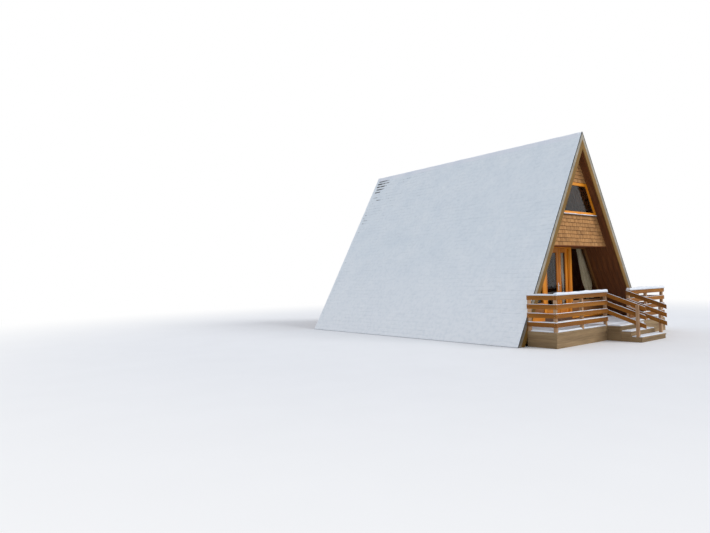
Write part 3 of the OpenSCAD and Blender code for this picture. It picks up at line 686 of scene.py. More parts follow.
def shingle_tree():
    """Courses of tapered shingles on a wall drawn in X and Y, cut at its two raked sides."""
    counts = [(label, "Int") for label in ("Columns", "Courses", "Seed")]
    sizes = ("Width", "Course", "Thickness", "Half foot", "Lean", "Height")
    lengths = [(label, "Float") for label in sizes]
    tree, given = group("shingle_courses", [*counts, *lengths, ("Finish", "Material")])
    width, course, thickness = given["Width"], given["Course"], given["Thickness"]
    # Points in rows, every other row moved by half a shingle
    spans = []
    for count, pitch in ((given["Columns"], width), (given["Courses"], course)):
        gaps = add(tree, "ShaderNodeMath", {"operation": "SUBTRACT"}, [count, 1.0])
        spans.append(add(tree, "ShaderNodeMath", {"operation": "MULTIPLY"}, [gaps, pitch]))
    across, up = spans
    grid = add(tree, "GeometryNodeMeshGrid", inputs=[across, up, given["Columns"], given["Courses"]])
    position = add(tree, "GeometryNodeInputPosition")
    spot = add(tree, "ShaderNodeSeparateXYZ", inputs=[position]).outputs
    half_up = add(tree, "ShaderNodeMath", {"operation": "MULTIPLY"}, [up, 0.5])
    height = add(tree, "ShaderNodeMath", {"operation": "ADD"}, [spot[1], half_up])
    rows_up = add(tree, "ShaderNodeMath", {"operation": "DIVIDE"}, [height, course])
    row = add(tree, "ShaderNodeMath", {"operation": "ROUND"}, [rows_up])
    odd = add(tree, "ShaderNodeMath", {"operation": "MODULO"}, [row, 2.0])
    half_width = add(tree, "ShaderNodeMath", {"operation": "MULTIPLY"}, [width, 0.5])
    by_turns = add(tree, "ShaderNodeMath", {"operation": "SUBTRACT"}, [odd, 0.5])
    slide = add(tree, "ShaderNodeMath", {"operation": "MULTIPLY"}, [by_turns, half_width])
    sideways = add(tree, "ShaderNodeMath", {"operation": "ADD"}, [spot[0], slide])
    place = add(tree, "ShaderNodeCombineXYZ", inputs=[sideways, height])
    placed = add(tree, "GeometryNodeSetPosition", inputs={"Geometry": grid, "Position": place})

    def reach(z):
        """Half the width between the raked sides at a height."""
        lean = add(tree, "ShaderNodeMath", {"operation": "MULTIPLY"}, [z, given["Lean"]])
        return add(tree, "ShaderNodeMath", {"operation": "SUBTRACT"}, [given["Half foot"], lean])

    # Points whose shingle would lie wholly beyond a raked side go
    from_middle = add(tree, "ShaderNodeMath", {"operation": "ABSOLUTE"}, [spot[0]])
    spare = add(tree, "ShaderNodeMath", {"operation": "MULTIPLY"}, [width, 0.46])
    near = add(tree, "ShaderNodeMath", {"operation": "SUBTRACT"}, [from_middle, spare])
    beyond = add(tree, "ShaderNodeMath", {"operation": "GREATER_THAN"}, [near, reach(spot[1])])
    kept = add(
        tree, "GeometryNodeDeleteGeometry", {"domain": "POINT"},
        {"Geometry": placed, "Selection": beyond},
    )
    # One shingle with its butt at the point, and its map in metres up from the butt
    length = add(tree, "ShaderNodeMath", {"operation": "MULTIPLY"}, [course, 1.22])
    size = add(tree, "ShaderNodeCombineXYZ", inputs=[width, length, thickness])
    half_length = add(tree, "ShaderNodeMath", {"operation": "MULTIPLY"}, [length, 0.5])
    half_thickness = add(tree, "ShaderNodeMath", {"operation": "MULTIPLY"}, [thickness, 0.5])
    seat = add(tree, "ShaderNodeCombineXYZ", inputs={1: half_length, 2: half_thickness})
    block = add(tree, "GeometryNodeMeshCube", inputs={"Size": size})
    seated = add(tree, "GeometryNodeTransform", inputs={"Geometry": block, "Translation": seat})
    own_map = add(tree, "ShaderNodeCombineXYZ", inputs=[spot[1], spot[0]])
    mapped = add(
        tree, "GeometryNodeStoreNamedAttribute", {"data_type": "FLOAT2", "domain": "CORNER"},
        {"Geometry": seated, "Name": "grain", "Value": own_map},
    )
    # Each copy leans out over the course below, and differs a little from the others
    seeds = [
        add(tree, "ShaderNodeMath", {"operation": "ADD"}, [given["Seed"], float(shift)])
        for shift in (1, 2, 3, 4)
    ]
    leaning, sized = (
        add(
            tree, "FunctionNodeRandomValue", {"data_type": "FLOAT_VECTOR"},
            {0: low, 1: high, "Seed": seed},
        )
        for low, high, seed in (
            ((-0.125, -0.004, -0.008), (-0.105, 0.004, 0.008), seeds[0]),
            ((0.94, 0.99, 0.9), (0.975, 1.02, 1.05), seeds[1]),
        )
    )
    copies = add(
        tree, "GeometryNodeInstanceOnPoints",
        inputs={"Points": kept, "Instance": mapped, "Rotation": leaning, "Scale": sized},
    )
    jog = ((-0.002, -0.004, 0.0), (0.002, 0.004, 0.002))
    jogged = varied(tree, copies, seeds[2], seeds[3], *jog)
    whole = add(tree, "GeometryNodeRealizeInstances", inputs={"Geometry": jogged})
    # Whatever stands out past the foot, the head or a raked side is pulled in to it
    raised = add(tree, "ShaderNodeMath", {"operation": "MAXIMUM"}, [spot[1], 0.0])
    high = add(tree, "ShaderNodeMath", {"operation": "MINIMUM"}, [raised, given["Height"]])
    edge = add(tree, "ShaderNodeMath", {"operation": "MAXIMUM"}, [reach(high), 0.0])
    left = add(tree, "ShaderNodeMath", {"operation": "MULTIPLY"}, [edge, -1.0])
    drawn_in = add(tree, "ShaderNodeMath", {"operation": "MAXIMUM"}, [spot[0], left])
    wide = add(tree, "ShaderNodeMath", {"operation": "MINIMUM"}, [drawn_in, edge])
    place = add(tree, "ShaderNodeCombineXYZ", inputs=[wide, high, spot[2]])
    cut = add(tree, "GeometryNodeSetPosition", inputs={"Geometry": whole, "Position": place})
    end_group(tree, cut, given["Finish"])
    return tree


def head_tree():
    """Domed screw heads on points, each turned to the point's own direction."""
    tree, given = group(
        "screw_heads", [("Radius", "Float"), ("Rise", "Float"), ("Finish", "Material")]
    )
    crown = add(tree, "ShaderNodeMath", {"operation": "MULTIPLY"}, [given["Radius"], 0.6])
    form = {"Radius Top": crown, "Radius Bottom": given["Radius"], "Depth": given["Rise"]}
    head = add(tree, "GeometryNodeMeshCone", inputs={"Vertices": 10, "Side Segments": 1, **form})
    aim = add(
        tree, "GeometryNodeInputNamedAttribute", {"data_type": "FLOAT_VECTOR"}, {"Name": "aim"}
    )
    turn = add(tree, "FunctionNodeAlignRotationToVector", {"axis": "Z"}, {"Vector": aim})
    copies = add(
        tree, "GeometryNodeInstanceOnPoints",
        inputs={"Points": given["Geometry"], "Instance": head.outputs["Mesh"], "Rotation": turn},
    )
    end_group(tree, copies, given["Finish"])
    return tree


def grown(mesh, tree, **values):
    """Plain mesh that a tree makes of a mesh. Inputs are set by their identifiers."""
    holder = bpy.data.objects.new(tree.name, mesh)
    bpy.context.scene.collection.objects.link(holder)
    modifier = holder.modifiers.new(tree.name, "NODES")
    modifier.node_group = tree
    for item in tree.interface.items_tree:
        key = item.name.replace(" ", "_").lower()
        if item.in_out == "INPUT" and key in values:
            modifier[item.identifier] = values[key]
    holder.update_tag()
    whole = holder.evaluated_get(bpy.context.evaluated_depsgraph_get())
    made = bpy.data.meshes.new_from_object(whole)
    bpy.data.objects.remove(holder)
    return made


ROWS, SHINGLES, HEADS = row_tree(), shingle_tree(), head_tree()


def board_row(length, width, thick, gap, count, seed, finish):
    """Row of boards along X that starts at the origin and goes on along Y, face up at Z = 0."""
    one = Boards(seed)
    one.plank(box(0, length, gap / 2, width - gap / 2, -thick, 0))
    return grown(
        one.mesh("board", [finish]), ROWS, count=count, step=(0, width, 0), seed=seed, finish=finish
    )


def shaped(mesh, matrix, fit=None):
    """Puts a mesh in its place and lets fit() move its points to what they meet."""
    mesh.transform(matrix)
    if matrix.determinant() < 0:
        mesh.flip_normals()
    if fit:
        for vertex in mesh.vertices:
            vertex.co = fit(vertex.co)
    shell = bmesh.new()
    shell.from_mesh(mesh)
    bmesh.ops.dissolve_degenerate(shell, dist=1e-5, edges=shell.edges)
    shell.to_mesh(mesh)
    shell.free()
    return mesh


def columns(x_axis, y_axis, z_axis, origin):
    """Matrix whose columns are three axes and an origin."""
    rows = [[*row, o] for row, o in zip(zip(x_axis, y_axis, z_axis), origin)]
    return Matrix([*rows, [0, 0, 0, 1]])


def shingled(name, y, face, z0, z1, replaces, seed):
    """Shingled wall between the slopes from z0 to z1. Face is -1 at the front and 1 at the back."""
    course, width = 0.119, 0.23
    half = slope_x(z0, INSIDE)
    height = z1 - z0
    mesh = grown(
        bpy.data.meshes.new("wall"),
        SHINGLES,
        columns=2 * math.ceil(half / width) + 3,
        courses=math.ceil(height / course - 1e-6),
        width=width,
        course=course,
        thickness=0.018,
        half_foot=half - 0.001,
        lean=1 / TAN,
        height=height,
        seed=seed,
        finish=SHINGLE,
    )
    matrix = columns((-face, 0, 0), (0, 0, 1), (0, face, 0), (0, y, z0))
    return finished(name, shaped(mesh, matrix), "cabin", replaces)


def screws(name, body, spots, radius, rise):
    """Screw heads at (point, direction) pairs."""
    mesh = bpy.data.meshes.new(name)
    mesh.from_pydata([p for p, _ in spots], [], [])
    mesh.attributes.new("aim", "FLOAT_VECTOR", "POINT").data.foreach_set(
        "vector", [v for _, way in spots for v in way]
    )
    made = grown(mesh, HEADS, radius=radius, rise=rise, finish=STEEL)
    return finished(name, made, body)


# Snow


def ripple(x, y, size, seed):
    """Smooth noise between about -1 and 1, with bumps of one size."""
    return noise.noise(Vector((x / size, y / size, seed * 7.31 + 0.5)))


RIPPLE = np.vectorize(ripple)


def edge_of(a, b):
    """Distance from each point of a grid to its border, for plain rows a and columns b."""
    da = np.minimum(a - a[0], a[-1] - a)
    db = np.minimum(b - b[0], b[-1] - b)
    return np.minimum(*np.meshgrid(da, db, indexing="ij"))


def grid_faces(index):
    """Quads between the neighbours in a grid of point numbers."""
    corners = [index[:-1, :-1], index[1:, :-1], index[1:, 1:], index[:-1, 1:]]
    return np.stack(corners, -1).reshape(-1, 4).tolist()


def border_of(index):
    """Point numbers once round the edge of a grid."""
    return [int(i) for i in (*index[:, 0], *index[-1, 1:], *index[-2::-1, -1], *index[0, -2:0:-1])]


class Drift:
    """Layers of snow gathered into one closed mesh each, with a level underside."""

    def __init__(self):
        self.points, self.faces = [], []

    def sheet(self, x, y, z, edge, depth, roll, seed, keep_out=(), rough=0.3, size=0.25, square=2):
        """Grid of points over a base: it rises from its border over roll and stays clear of posts."""
        near = edge
        for x0, x1, y0, y1 in keep_out:
            out = np.maximum(np.maximum(x0 - x, x - x1), np.maximum(y0 - y, y - y1))
            near = np.minimum(near, out)
        share = np.clip(near / roll, 0, 1)
        rise = (1 - (1 - share) ** square) ** (1 / square)
        lumps = 1 + rough * RIPPLE(x, y, size, seed) + 0.5 * rough * RIPPLE(x, y, size / 3, seed + 1)
        top = z + depth * rise * lumps
        # Where a post stands, the layer dips under the surface that carries it
        top = np.where((near <= 0) & (edge > 0), z - 0.004, top)
        index = len(self.points) + np.arange(x.size).reshape(x.shape)
        self.points += np.stack([x, y, top], -1).reshape(-1, 3).tolist()
        self.faces += grid_faces(index)
        self.faces.append(border_of(index)[::-1])

    def pad(self, x0, x1, y0, y1, z, depth, roll, seed, step=0.02, **more):
        """Sheet on a level rectangle."""
        a = np.linspace(x0, x1, max(10, round((x1 - x0) / step)) + 1)
        b = np.linspace(y0, y1, max(10, round((y1 - y0) / step)) + 1)
        x, y = np.meshgrid(a, b, indexing="ij")
        self.sheet(x, y, np.full_like(x, z), edge_of(a, b), depth, roll, seed, **more)

    def piece(self, name):
        """Finished piece of all the layers."""
        mesh = bpy.data.meshes.new(name)
        mesh.from_pydata(self.points, [], self.faces)
        mesh.materials.append(SNOW)
        outward(mesh)
        return finished(name, mesh, "cabin", smooth=True)


def roof_snow(side, name):
    """Thin snow on one slope: a closed layer that follows the lapped courses."""
    # Places within one course, from its butt up, and how deep the snow's face lies there
    lap = (
        (0.0, -0.001),
        (0.05, -0.0045),
        (0.12, -0.006),
        (0.22, -0.005),
        (0.45, -0.003),
        (0.75, -0.001),
        (0.97, 0.001),
    )
    top, margin, courses = HALF_W / COS, 0.03, 50
    steps_up = [((i + f) * COURSE, deep) for i in range(courses) for f, deep in lap]
    steps_up = [(u, deep) for u, deep in steps_up if margin < u < top - margin]
    u = np.array([0.0, *(u for u, _ in steps_up), top - 0.012])
    d = np.array([steps_up[0][1], *(deep for _, deep in steps_up), 0.0])
    y = np.concatenate(
        [
            np.linspace(Y_FRONT + 0.014, Y_FRONT + 0.06, 6),
            np.linspace(Y_FRONT + 0.12, Y_BACK - 0.12, 155),
            np.linspace(Y_BACK - 0.09, Y_BACK + 0.028, 12),
        ]
    )
    uu, yy = np.meshgrid(u, y, indexing="ij")
    ends = np.minimum(yy - y[0], y[-1] - yy)
    rise = np.sqrt(1 - (1 - np.clip(ends / 0.02, 0, 1)) ** 2)
    # A rim of snow lies on the back verge, thicker higher up, and a little at the front
    higher = np.clip(uu / top * 1.6 - 0.6, 0, 1)
    rim = (0.010 + 0.024 * higher) * (1 + 0.5 * RIPPLE(uu, uu, 0.3, side + 9))
    heap = rim * np.exp(-(((Y_BACK + 0.005 - yy) / 0.04) ** 2))
    flange = 0.007 * np.clip((Y_FRONT + 0.2 - yy) / 0.08, 0, 1)
    foot = 0.012 * np.exp(-((uu / 0.09) ** 2))
    lumps = 0.003 * RIPPLE(uu, yy, 0.5, side + 3) + 0.002 * RIPPLE(uu, yy, 0.16, side + 5)
    # The courses show through in some places and are filled in others
    shown = np.clip(0.4 + 1.1 * RIPPLE(uu, yy, 1.1, side + 7), 0.08, 1.0)
    dd = -0.0045 + (np.repeat(d[:, None], len(y), 1) + 0.003) * shown + lumps
    dd = dd + 0.008 * (1 - rise) - heap - flange - foot
    # Snow has slid off round the upper back corner, and a little along the back verge
    back = Y_BACK - yy
    bare = 1.15 * np.exp(-((back / 0.95) ** 2) - ((top - uu) / 1.0) ** 2)
    bare = np.maximum(bare, 0.42 * np.exp(-((back / 2.4) ** 2) - ((top - uu) / 2.2) ** 2))
    verge = 0.62 * np.exp(-((back / 0.45) ** 2)) * uu / top
    bare = np.maximum(bare, verge) * np.clip(back / 0.08 - 0.6, 0, 1)

    def points(u_, d_, y_):
        x = HALF_W - u_ * COS - d_ * SIN
        z = u_ * SIN - d_ * COS
        return np.stack([side * np.maximum(x, 0.0), y_, np.maximum(z, 0.001)], -1).reshape(-1, 3)

    index = np.arange(uu.size).reshape(uu.shape)
    border = border_of(index)
    count, first = len(border), uu.size
    # The underside keeps to one depth inside the roof covering
    edge_u, edge_y = uu.ravel()[border], yy.ravel()[border]
    verts = [*points(uu, dd, yy).tolist(), *points(edge_u, np.full(count, 0.03), edge_y).tolist()]
    faces = grid_faces(index)
    for k in range(count):
        j = (k + 1) % count
        faces.append([border[k], border[j], first + j, first + k])
    faces.append([first + k for k in range(count)])
    mesh = bpy.data.meshes.new(name)
    mesh.from_pydata(verts, [], faces)
    up_slope, along = np.append(uu.ravel(), edge_u), np.append(yy.ravel(), edge_y)
    corner = np.zeros(len(mesh.loops), np.int32)
    mesh.loops.foreach_get("vertex_index", corner)
    maps = np.stack([up_slope[corner], along[corner]], -1).ravel()
    mesh.uv_layers.new(name="grain").data.foreach_set("uv", maps)
    mesh.attributes.new("bare", "FLOAT", "POINT").data.foreach_set(
        "value", np.append(bare.ravel(), bare.ravel()[border])
    )
    mesh.materials.append(ROOF_SNOW)
    outward(mesh)
    return finished(name, mesh, "cabin", smooth=True)


def ridge_snow():
    """Snow that caps the ridge: one closed ring swept along it, with uneven depth."""
    y = np.linspace(Y_FRONT + 0.06, Y_BACK + 0.03, 200)
    reach = np.linspace(-1, 1, 13)
    wide = 0.2
    drift = Drift()

    def spot(w, s, d, yj, drop):
        """Point at a distance s down the slope on the side of w, d inside its face."""
        x = math.copysign(max(0.0, s * COS - d * SIN), w) if w else 0.0
        return x, yj, RIDGE - s * SIN - drop

    for yj in y:
        end = min(1.0, min(yj - y[0], y[-1] - yj) / 0.05)
        heap = 0.036 + 0.02 * math.exp(-(((Y_BACK - yj) / 0.15) ** 2))
        deep = heap * math.sqrt(1 - (1 - end) ** 2)
        for w in reach:
            s = abs(w) * wide * (1 + 0.12 * ripple(yj, math.copysign(1, w), 0.35, 21))
            d = -deep * (1 - abs(w) ** 4) * (1 + 0.35 * ripple(yj, w, 0.3, 22)) + 0.004
            crown = 0.006 * (1 - min(1, abs(w) * 4))
            drift.points.append(spot(w, s, d, yj, d * COS + crown))
        for w in reach[::-1]:
            drift.points.append(spot(w, abs(w) * wide, 0.012, yj, 0.03))
    ring = 2 * len(reach)
    last = (len(y) - 1) * ring
    for start in range(0, last, ring):
        for k in range(ring):
            n = (k + 1) % ring
            drift.faces.append([start + k, start + n, start + ring + n, start + ring + k])
    drift.faces += [list(range(ring)), [last + k for k in range(ring - 1, -1, -1)]]
    return drift.piece("ridge_snow")


# Roof and gables


def verges():
    """Barge boards, metal trims and the covering's edge at both gables."""
    barge = Boards(11)
    board = flat_y(*layer(0.110, 0.260), Y_FRONT, Y_FRONT + TRIM)
    barge.planks(board, turned(board), both=True)
    barge.piece("barge_timbers", "cabin", "barge_wood", [BARGE], ["barge_boards"], 0.004)
    dressed("verge_trims", "verge_flashings", VERGE, 0.002)
    strip = Boards(12)
    strip.planks(flat_y(*layer(-0.005, -0.0003), Y_FRONT - 0.008, Y_FRONT + 0.024), both=True)
    strip.piece("verge_felt", "cabin", "roof_covering", [FELT], (), 0.001)


def lining():
    """Lining boards that run up each slope, with V-joints between them."""
    count, clear, thick, gap = 50, 0.0004, 0.0215, 0.001
    first = Y_FRONT + TRIM + clear
    width = (Y_BACK - Y_FRONT - 2 * (TRIM + clear)) / count
    for side, name in ((1, "right"), (-1, "left")):
        mesh = board_row(HALF_W / COS, width, thick, gap, count, 13 + side, LINING)
        way = Vector((-side * COS, 0, SIN))
        inwards = (-side * SIN, 0, -COS)
        matrix = columns(way, (0, 1, 0), inwards, (side * slope_x(0, 0.26), first, 0.0))

        def fit(p, side=side, way=way):
            """Ends cut level at the foot and plumb at the ridge."""
            if p.z < 0:
                p = p - way * (p.z / SIN)
            if side * p.x < HAIR:
                p = p - way * ((HAIR - side * p.x) / COS)
            return p

        piece = finished(
            "lining_boards_" + name, shaped(mesh, matrix, fit), "cabin",
            ["lining_" + name], 0.005, segments=1,
        )
        piece.data.name = piece.name


def opening(z0, z1, edge):
    """Raked outline between the slopes, drawn in by edge on every side."""
    d = INSIDE + edge
    return [
        (-slope_x(z0 + edge, d), z0 + edge),
        (slope_x(z0 + edge, d), z0 + edge),
        (slope_x(z1 - edge, d), z1 - edge),
        (-slope_x(z1 - edge, d), z1 - edge),
    ]


def wall(z0, z1):
    """Raked outline between the slopes."""
    return opening(z0, z1, 0.0)


def level_board(outline, y0, y1):
    """Board with level grain that fills an outline of left foot, right foot, right head, left head."""
    left_foot, right_foot, right_head, left_head = outline
    return flat_y(left_foot, left_head, right_head, right_foot, y0, y1)


def bands(z0, z1, count):
    """Lower and upper edge of each of the boards that share a height."""
    step = (z1 - z0) / count
    return [(z0 + step * i, z0 + step * (i + 1)) for i in range(count)]


def glazed(boards, seals, inset, y0, y1, pane, how=same, kinds=(0, 0, 0, 0)):
    """Glazing beads and seals on both sides of a pane, inside the outline that inset() gives."""
    boards.ring(inset(0.0), inset(0.016), y0 + 0.012, pane[0], kinds, how)
    boards.ring(inset(0.0), inset(0.016), pane[1], y1 - 0.012, kinds, how)
    seals.ring(inset(0.014), inset(0.020), pane[0] - 0.004, pane[0], how=how)
    seals.ring(inset(0.014), inset(0.020), pane[1], pane[1] + 0.004, how=how)


def panel():
    """Shingled panel over the porch, on boards."""
    face = Y_PANEL + 0.022
    shingled("panel_shingles", face, -1, PANEL_FOOT, LEDGE, ["shingle_panel"], 31)
    backing = Boards(32)
    for z0, z1 in bands(PANEL_FOOT, LEDGE, 6):
        backing.plank(level_board(wall(z0, z1), Y_PANEL + 0.026, Y_PANEL_IN))
    foot = wall(PANEL_FOOT - 0.01, PANEL_FOOT + 0.005)
    backing.plank(level_board(foot, Y_PANEL + 0.012, Y_PANEL_IN))
    backing.piece("panel_backing", "cabin", "shingle_wood", [SOFFIT], (), 0.002)


def ledges():
    """Boards over the panel and over the back wall, under the upper windows."""
    boards = Boards(33)
    outline = wall(LEDGE, UPPER)
    boards.plank(level_board(outline, Y_PANEL - 0.025, Y_PANEL_IN))
    boards.plank(turned(level_board(outline, -Y_GABLE - 0.025, -Y_GABLE_IN)))
    boards.piece(
        "ledge_boards", "cabin", "barge_wood", [LEDGE_WOOD], ["upper_ledge", "back_ledge"], 0.004
    )


def square(x, edge):
    """Outline of a lower back window, drawn in by edge on every side."""
    half, low, high = 0.5 - edge, BACK_SILL + edge, BACK_HEAD - edge
    return [(x - half, low), (x + half, low), (x + half, high), (x - half, high)]


def pane_in(y0, y1):
    """Faces of a pane in the middle of a frame."""
    mid = (y0 + y1) / 2
    return mid - 0.012, mid + 0.012


def gable_windows(seals):
    """Frames of the raked upper windows, and of the two lower ones at the back."""
    frames = Boards(34)
    back = (-Y_GABLE, -Y_GABLE_IN)
    for how, y in ((same, (Y_PANEL, Y_PANEL_IN)), (turned, back)):
        frames.ring(wall(UPPER, TIP), opening(UPPER, TIP, 0.08), *y, how=how)
        glazed(frames, seals, lambda e: opening(UPPER, TIP, 0.078 + e), *y, pane_in(*y), how)
    for x in BACK_WINDOWS:
        frames.ring(square(x, 0), square(x, 0.06), *back, how=turned)
        glazed(frames, seals, lambda e: square(x, 0.058 + e), *back, pane_in(*back), turned)
        sill = (x - 0.53, x + 0.53, back[0] - 0.035, back[0] - HAIR, BACK_SILL - 0.04, BACK_SILL)
        frames.plank(turned(box(*sill)))
    frames.piece(
        "gable_window_frames", "cabin", "frame_wood", [JOINERY],
        ["upper_window_frame", "back_window_frames"], 0.003,
    )


def tips():
    """Shingled tips of both gables, on boards."""
    peak = slope_z(0, INSIDE)
    for end, y, face, nodes, seed in (
        ("front", Y_PANEL + 0.022, -1, ["gable_tips"], 35),
        ("back", Y_GABLE - 0.022, 1, [], 36),
    ):
        name = "tip_shingles_" + end
        shingled(name, y, face, TIP, peak - 0.004, nodes, seed)
    boards = Boards(37)
    for z0, z1 in bands(TIP, peak, 6):
        outline = wall(z0, min(z1, peak - 0.003))
        boards.plank(level_board(outline, Y_PANEL + 0.026, Y_PANEL_IN))
        boards.plank(turned(level_board(outline, -Y_GABLE + 0.026, -Y_GABLE_IN)))
    boards.piece("tip_backing", "cabin", "shingle_wood", [SOFFIT], (), 0.002)


def back_wall():
    """Back wall: boards below and shingles above, as at the front."""
    boards = Boards(38)
    y0, y1 = -Y_GABLE, -Y_GABLE_IN
    seams = [
        DECK, 0.6, 0.78, 0.96, 1.14, 1.32, BACK_SILL, 1.667, 1.833, 2.0, 2.167, 2.333,
        BACK_HEAD, 2.65, PANEL_FOOT,
    ]
    for z0, z1 in zip(seams, seams[1:]):
        foot, head = slope_x(z0, INSIDE), slope_x(z1, INSIDE)
        # At the windows' height three boards fill a row, and elsewhere one runs from slope to slope
        beside = BACK_SILL <= z0 < BACK_HEAD
        for a, b in [(None, -1.4), (-0.4, 0.4), (1.4, None)] if beside else [(None, None)]:
            low = [(-foot if a is None else a, z0), (foot if b is None else b, z0)]
            high = [(head if b is None else b, z1), (-head if a is None else a, z1)]
            boards.plank(turned(level_board([*low, *high], y0, y1)))
    for z0, z1 in bands(PANEL_FOOT, LEDGE, 6):
        boards.plank(turned(level_board(wall(z0, z1), y0 + 0.004, y1)))
    boards.piece("back_wall_boards", "cabin", "parapet_wood", [PARAPET_WOOD], ["back_wall"], 0.004)
    shingled("back_shingles", Y_GABLE, 1, PANEL_FOOT, LEDGE, [], 39)


# Glazed front

# Outer side of the door posts, and both faces of the side windows' panes
BAY = 0.79
PANE = (-3.712, -3.688)


def bay(z0, z1, side, rake):
    """Outline between the door post and the slope, drawn in by side and by rake."""
    return [
        (BAY + side, z0),
        (slope_x(z0, INSIDE + rake), z0),
        (slope_x(z1, INSIDE + rake), z1),
        (BAY + side, z1),
    ]


def side_windows(seals):
    """Raked windows beside the doors, with their sills."""
    frames = Boards(41)
    sill_top = PARAPET + 0.034
    outer = bay(sill_top, CEILING, 0, 0)
    inner = bay(SILL, CEILING - 0.04, 0.06, 0.09)
    # Foot in worn wood, raked side and head in brown as painted shade, and the upright bright
    kinds = (2, 1, 1, 0)

    def inset(e):
        return bay(SILL - 0.002 + e, CEILING - 0.038 - e, 0.058 + e, 0.088 + e)

    for how in (same, mirrored):
        frames.ring(outer, inner, Y_WALL, Y_WALL_IN, kinds, how)
        sill = level_board(bay(PARAPET, sill_top, 0, 0), Y_WALL - 0.035, Y_WALL_IN)
        frames.plank(how(sill), 2)
        glazed(frames, seals, inset, Y_WALL, Y_WALL_IN, PANE, how, kinds)
    frames.piece(
        "side_window_joinery", "cabin", "frame_wood", [JOINERY, RAKED, SILL_WOOD],
        ["side_window_frames"], 0.003,
    )


def door_frame():
    """Post and stop at each side of the doors, with a dark seam of painted shade between, and the head
    board.
    """
    posts = Boards(42)
    seam, stop = 0.712, 0.696
    posts.planks(box(seam, BAY, Y_WALL, Y_WALL_IN, FLOOR, HEADER, "z"), both=True)
    posts.planks(box(0.66, stop, Y_WALL + 0.01, Y_WALL_IN, FLOOR, HEADER, "z"), both=True)
    # The groove is painted dark brown as shade in the recess between post and stop
    groove = box(stop, seam, Y_WALL + 0.022, Y_WALL_IN, FLOOR, HEADER, "z")
    posts.planks(groove, both=True, kind=1)
    # Head board in the deeper glaze, as painted shade under the panel
    posts.plank(box(-BAY, BAY, Y_WALL, Y_WALL_IN, HEADER, CEILING), 2)
    posts.piece(
        "door_frame_joinery", "cabin", "frame_wood", [JOINERY, JOINERY_SHADE, LEAF_WOOD],
        ["door_posts", "front_header"], 0.003,
    )


def parapets():
    """Boards under the side windows with a foot rail on them, and the threshold."""
    panels = Boards(43)
    back = Y_WALL + 0.024
    for z0, z1 in bands(DECK, PARAPET, 3):
        panels.planks(level_board(bay(z0, z1, 0, 0), back, Y_WALL_IN), both=True)
    foot_rail = level_board(bay(0.48, 0.62, 0, 0), Y_WALL, back - HAIR)
    panels.planks(foot_rail, both=True, kind=1)
    panels.piece(
        "parapet_boards", "cabin", "parapet_wood", [PARAPET_WOOD, JOINERY], ["parapets"], 0.003
    )
    sill = Boards(44)
    sill.plank(box(-BAY, BAY, Y_WALL, Y_WALL_IN, DECK, FLOOR))
    sill.piece("threshold_board", "cabin", "threshold_wood", [THRESHOLD], ["threshold"], 0.005)


def porch_ceiling():
    """Soffit boards over the porch, cut to the slopes."""
    count, half, depth = 7, 1.8, 0.68
    mesh = board_row(2 * half, depth / count, 0.011, 0.001, count, 45, SOFFIT)
    matrix = columns((1, 0, 0), (0, -1, 0), (0, 0, -1), (-half, Y_WALL, CEILING - 0.0115))

    def fit(p):
        reach = slope_x(p.z, INSIDE)
        return Vector((max(-reach, min(reach, p.x)), p.y, p.z))

    mesh = shaped(mesh, matrix, fit)
    finished("porch_ceiling_boards", mesh, "cabin", (), 0.003, segments=1)


# Foot and head of the door leaves, their faces, and those of their panes
LEAF_LOW, LEAF_HIGH = 0.606, 2.759
LEAF_Y, LEAF_Y_IN = -3.71, -3.65
LEAF_PANE = (-3.692, -3.668)


def leaf(body, node, x0, x1, stile, seed):
    """Door leaf: two stiles, a top rail, grooved boards at the foot, and glazing beads."""
    boards, seals = Boards(seed), Boards(seed + 1)
    kick, head = LEAF_LOW + 0.31, LEAF_HIGH - 0.11
    a, b = x0 + stile, x1 - stile
    for left, right in ((x0, a), (b, x1)):
        boards.plank(box(left, right, LEAF_Y, LEAF_Y_IN, LEAF_LOW, LEAF_HIGH, "z"))
    boards.plank(box(a, b, LEAF_Y, LEAF_Y_IN, head, LEAF_HIGH))
    for z0, z1 in bands(LEAF_LOW, kick, 5):
        boards.plank(box(a, b, LEAF_Y + 0.004, LEAF_Y_IN - 0.004, z0, z1))

    def inset(e):
        return [(a + e, kick + e), (b - e, kick + e), (b - e, head - e), (a + e, head - e)]

    glazed(boards, seals, inset, LEAF_Y, LEAF_Y_IN, LEAF_PANE)
    weather_bar = (x0 + 0.01, x1 - 0.01, LEAF_Y - 0.022, LEAF_Y, LEAF_LOW + 0.03, LEAF_LOW + 0.062)
    boards.plank(box(*weather_bar))
    if node == "side_door":
        cover = (x0 - 0.004, x0 + 0.026, LEAF_Y - 0.008, LEAF_Y, LEAF_LOW, LEAF_HIGH)
        boards.plank(box(*cover, "z"))
    boards.piece(body + "_joinery", body, "frame_wood", [LEAF_WOOD], [node], 0.003)
    seals.piece(body + "_seals", body, "handle_metal", [GASKET], (), 0.001)


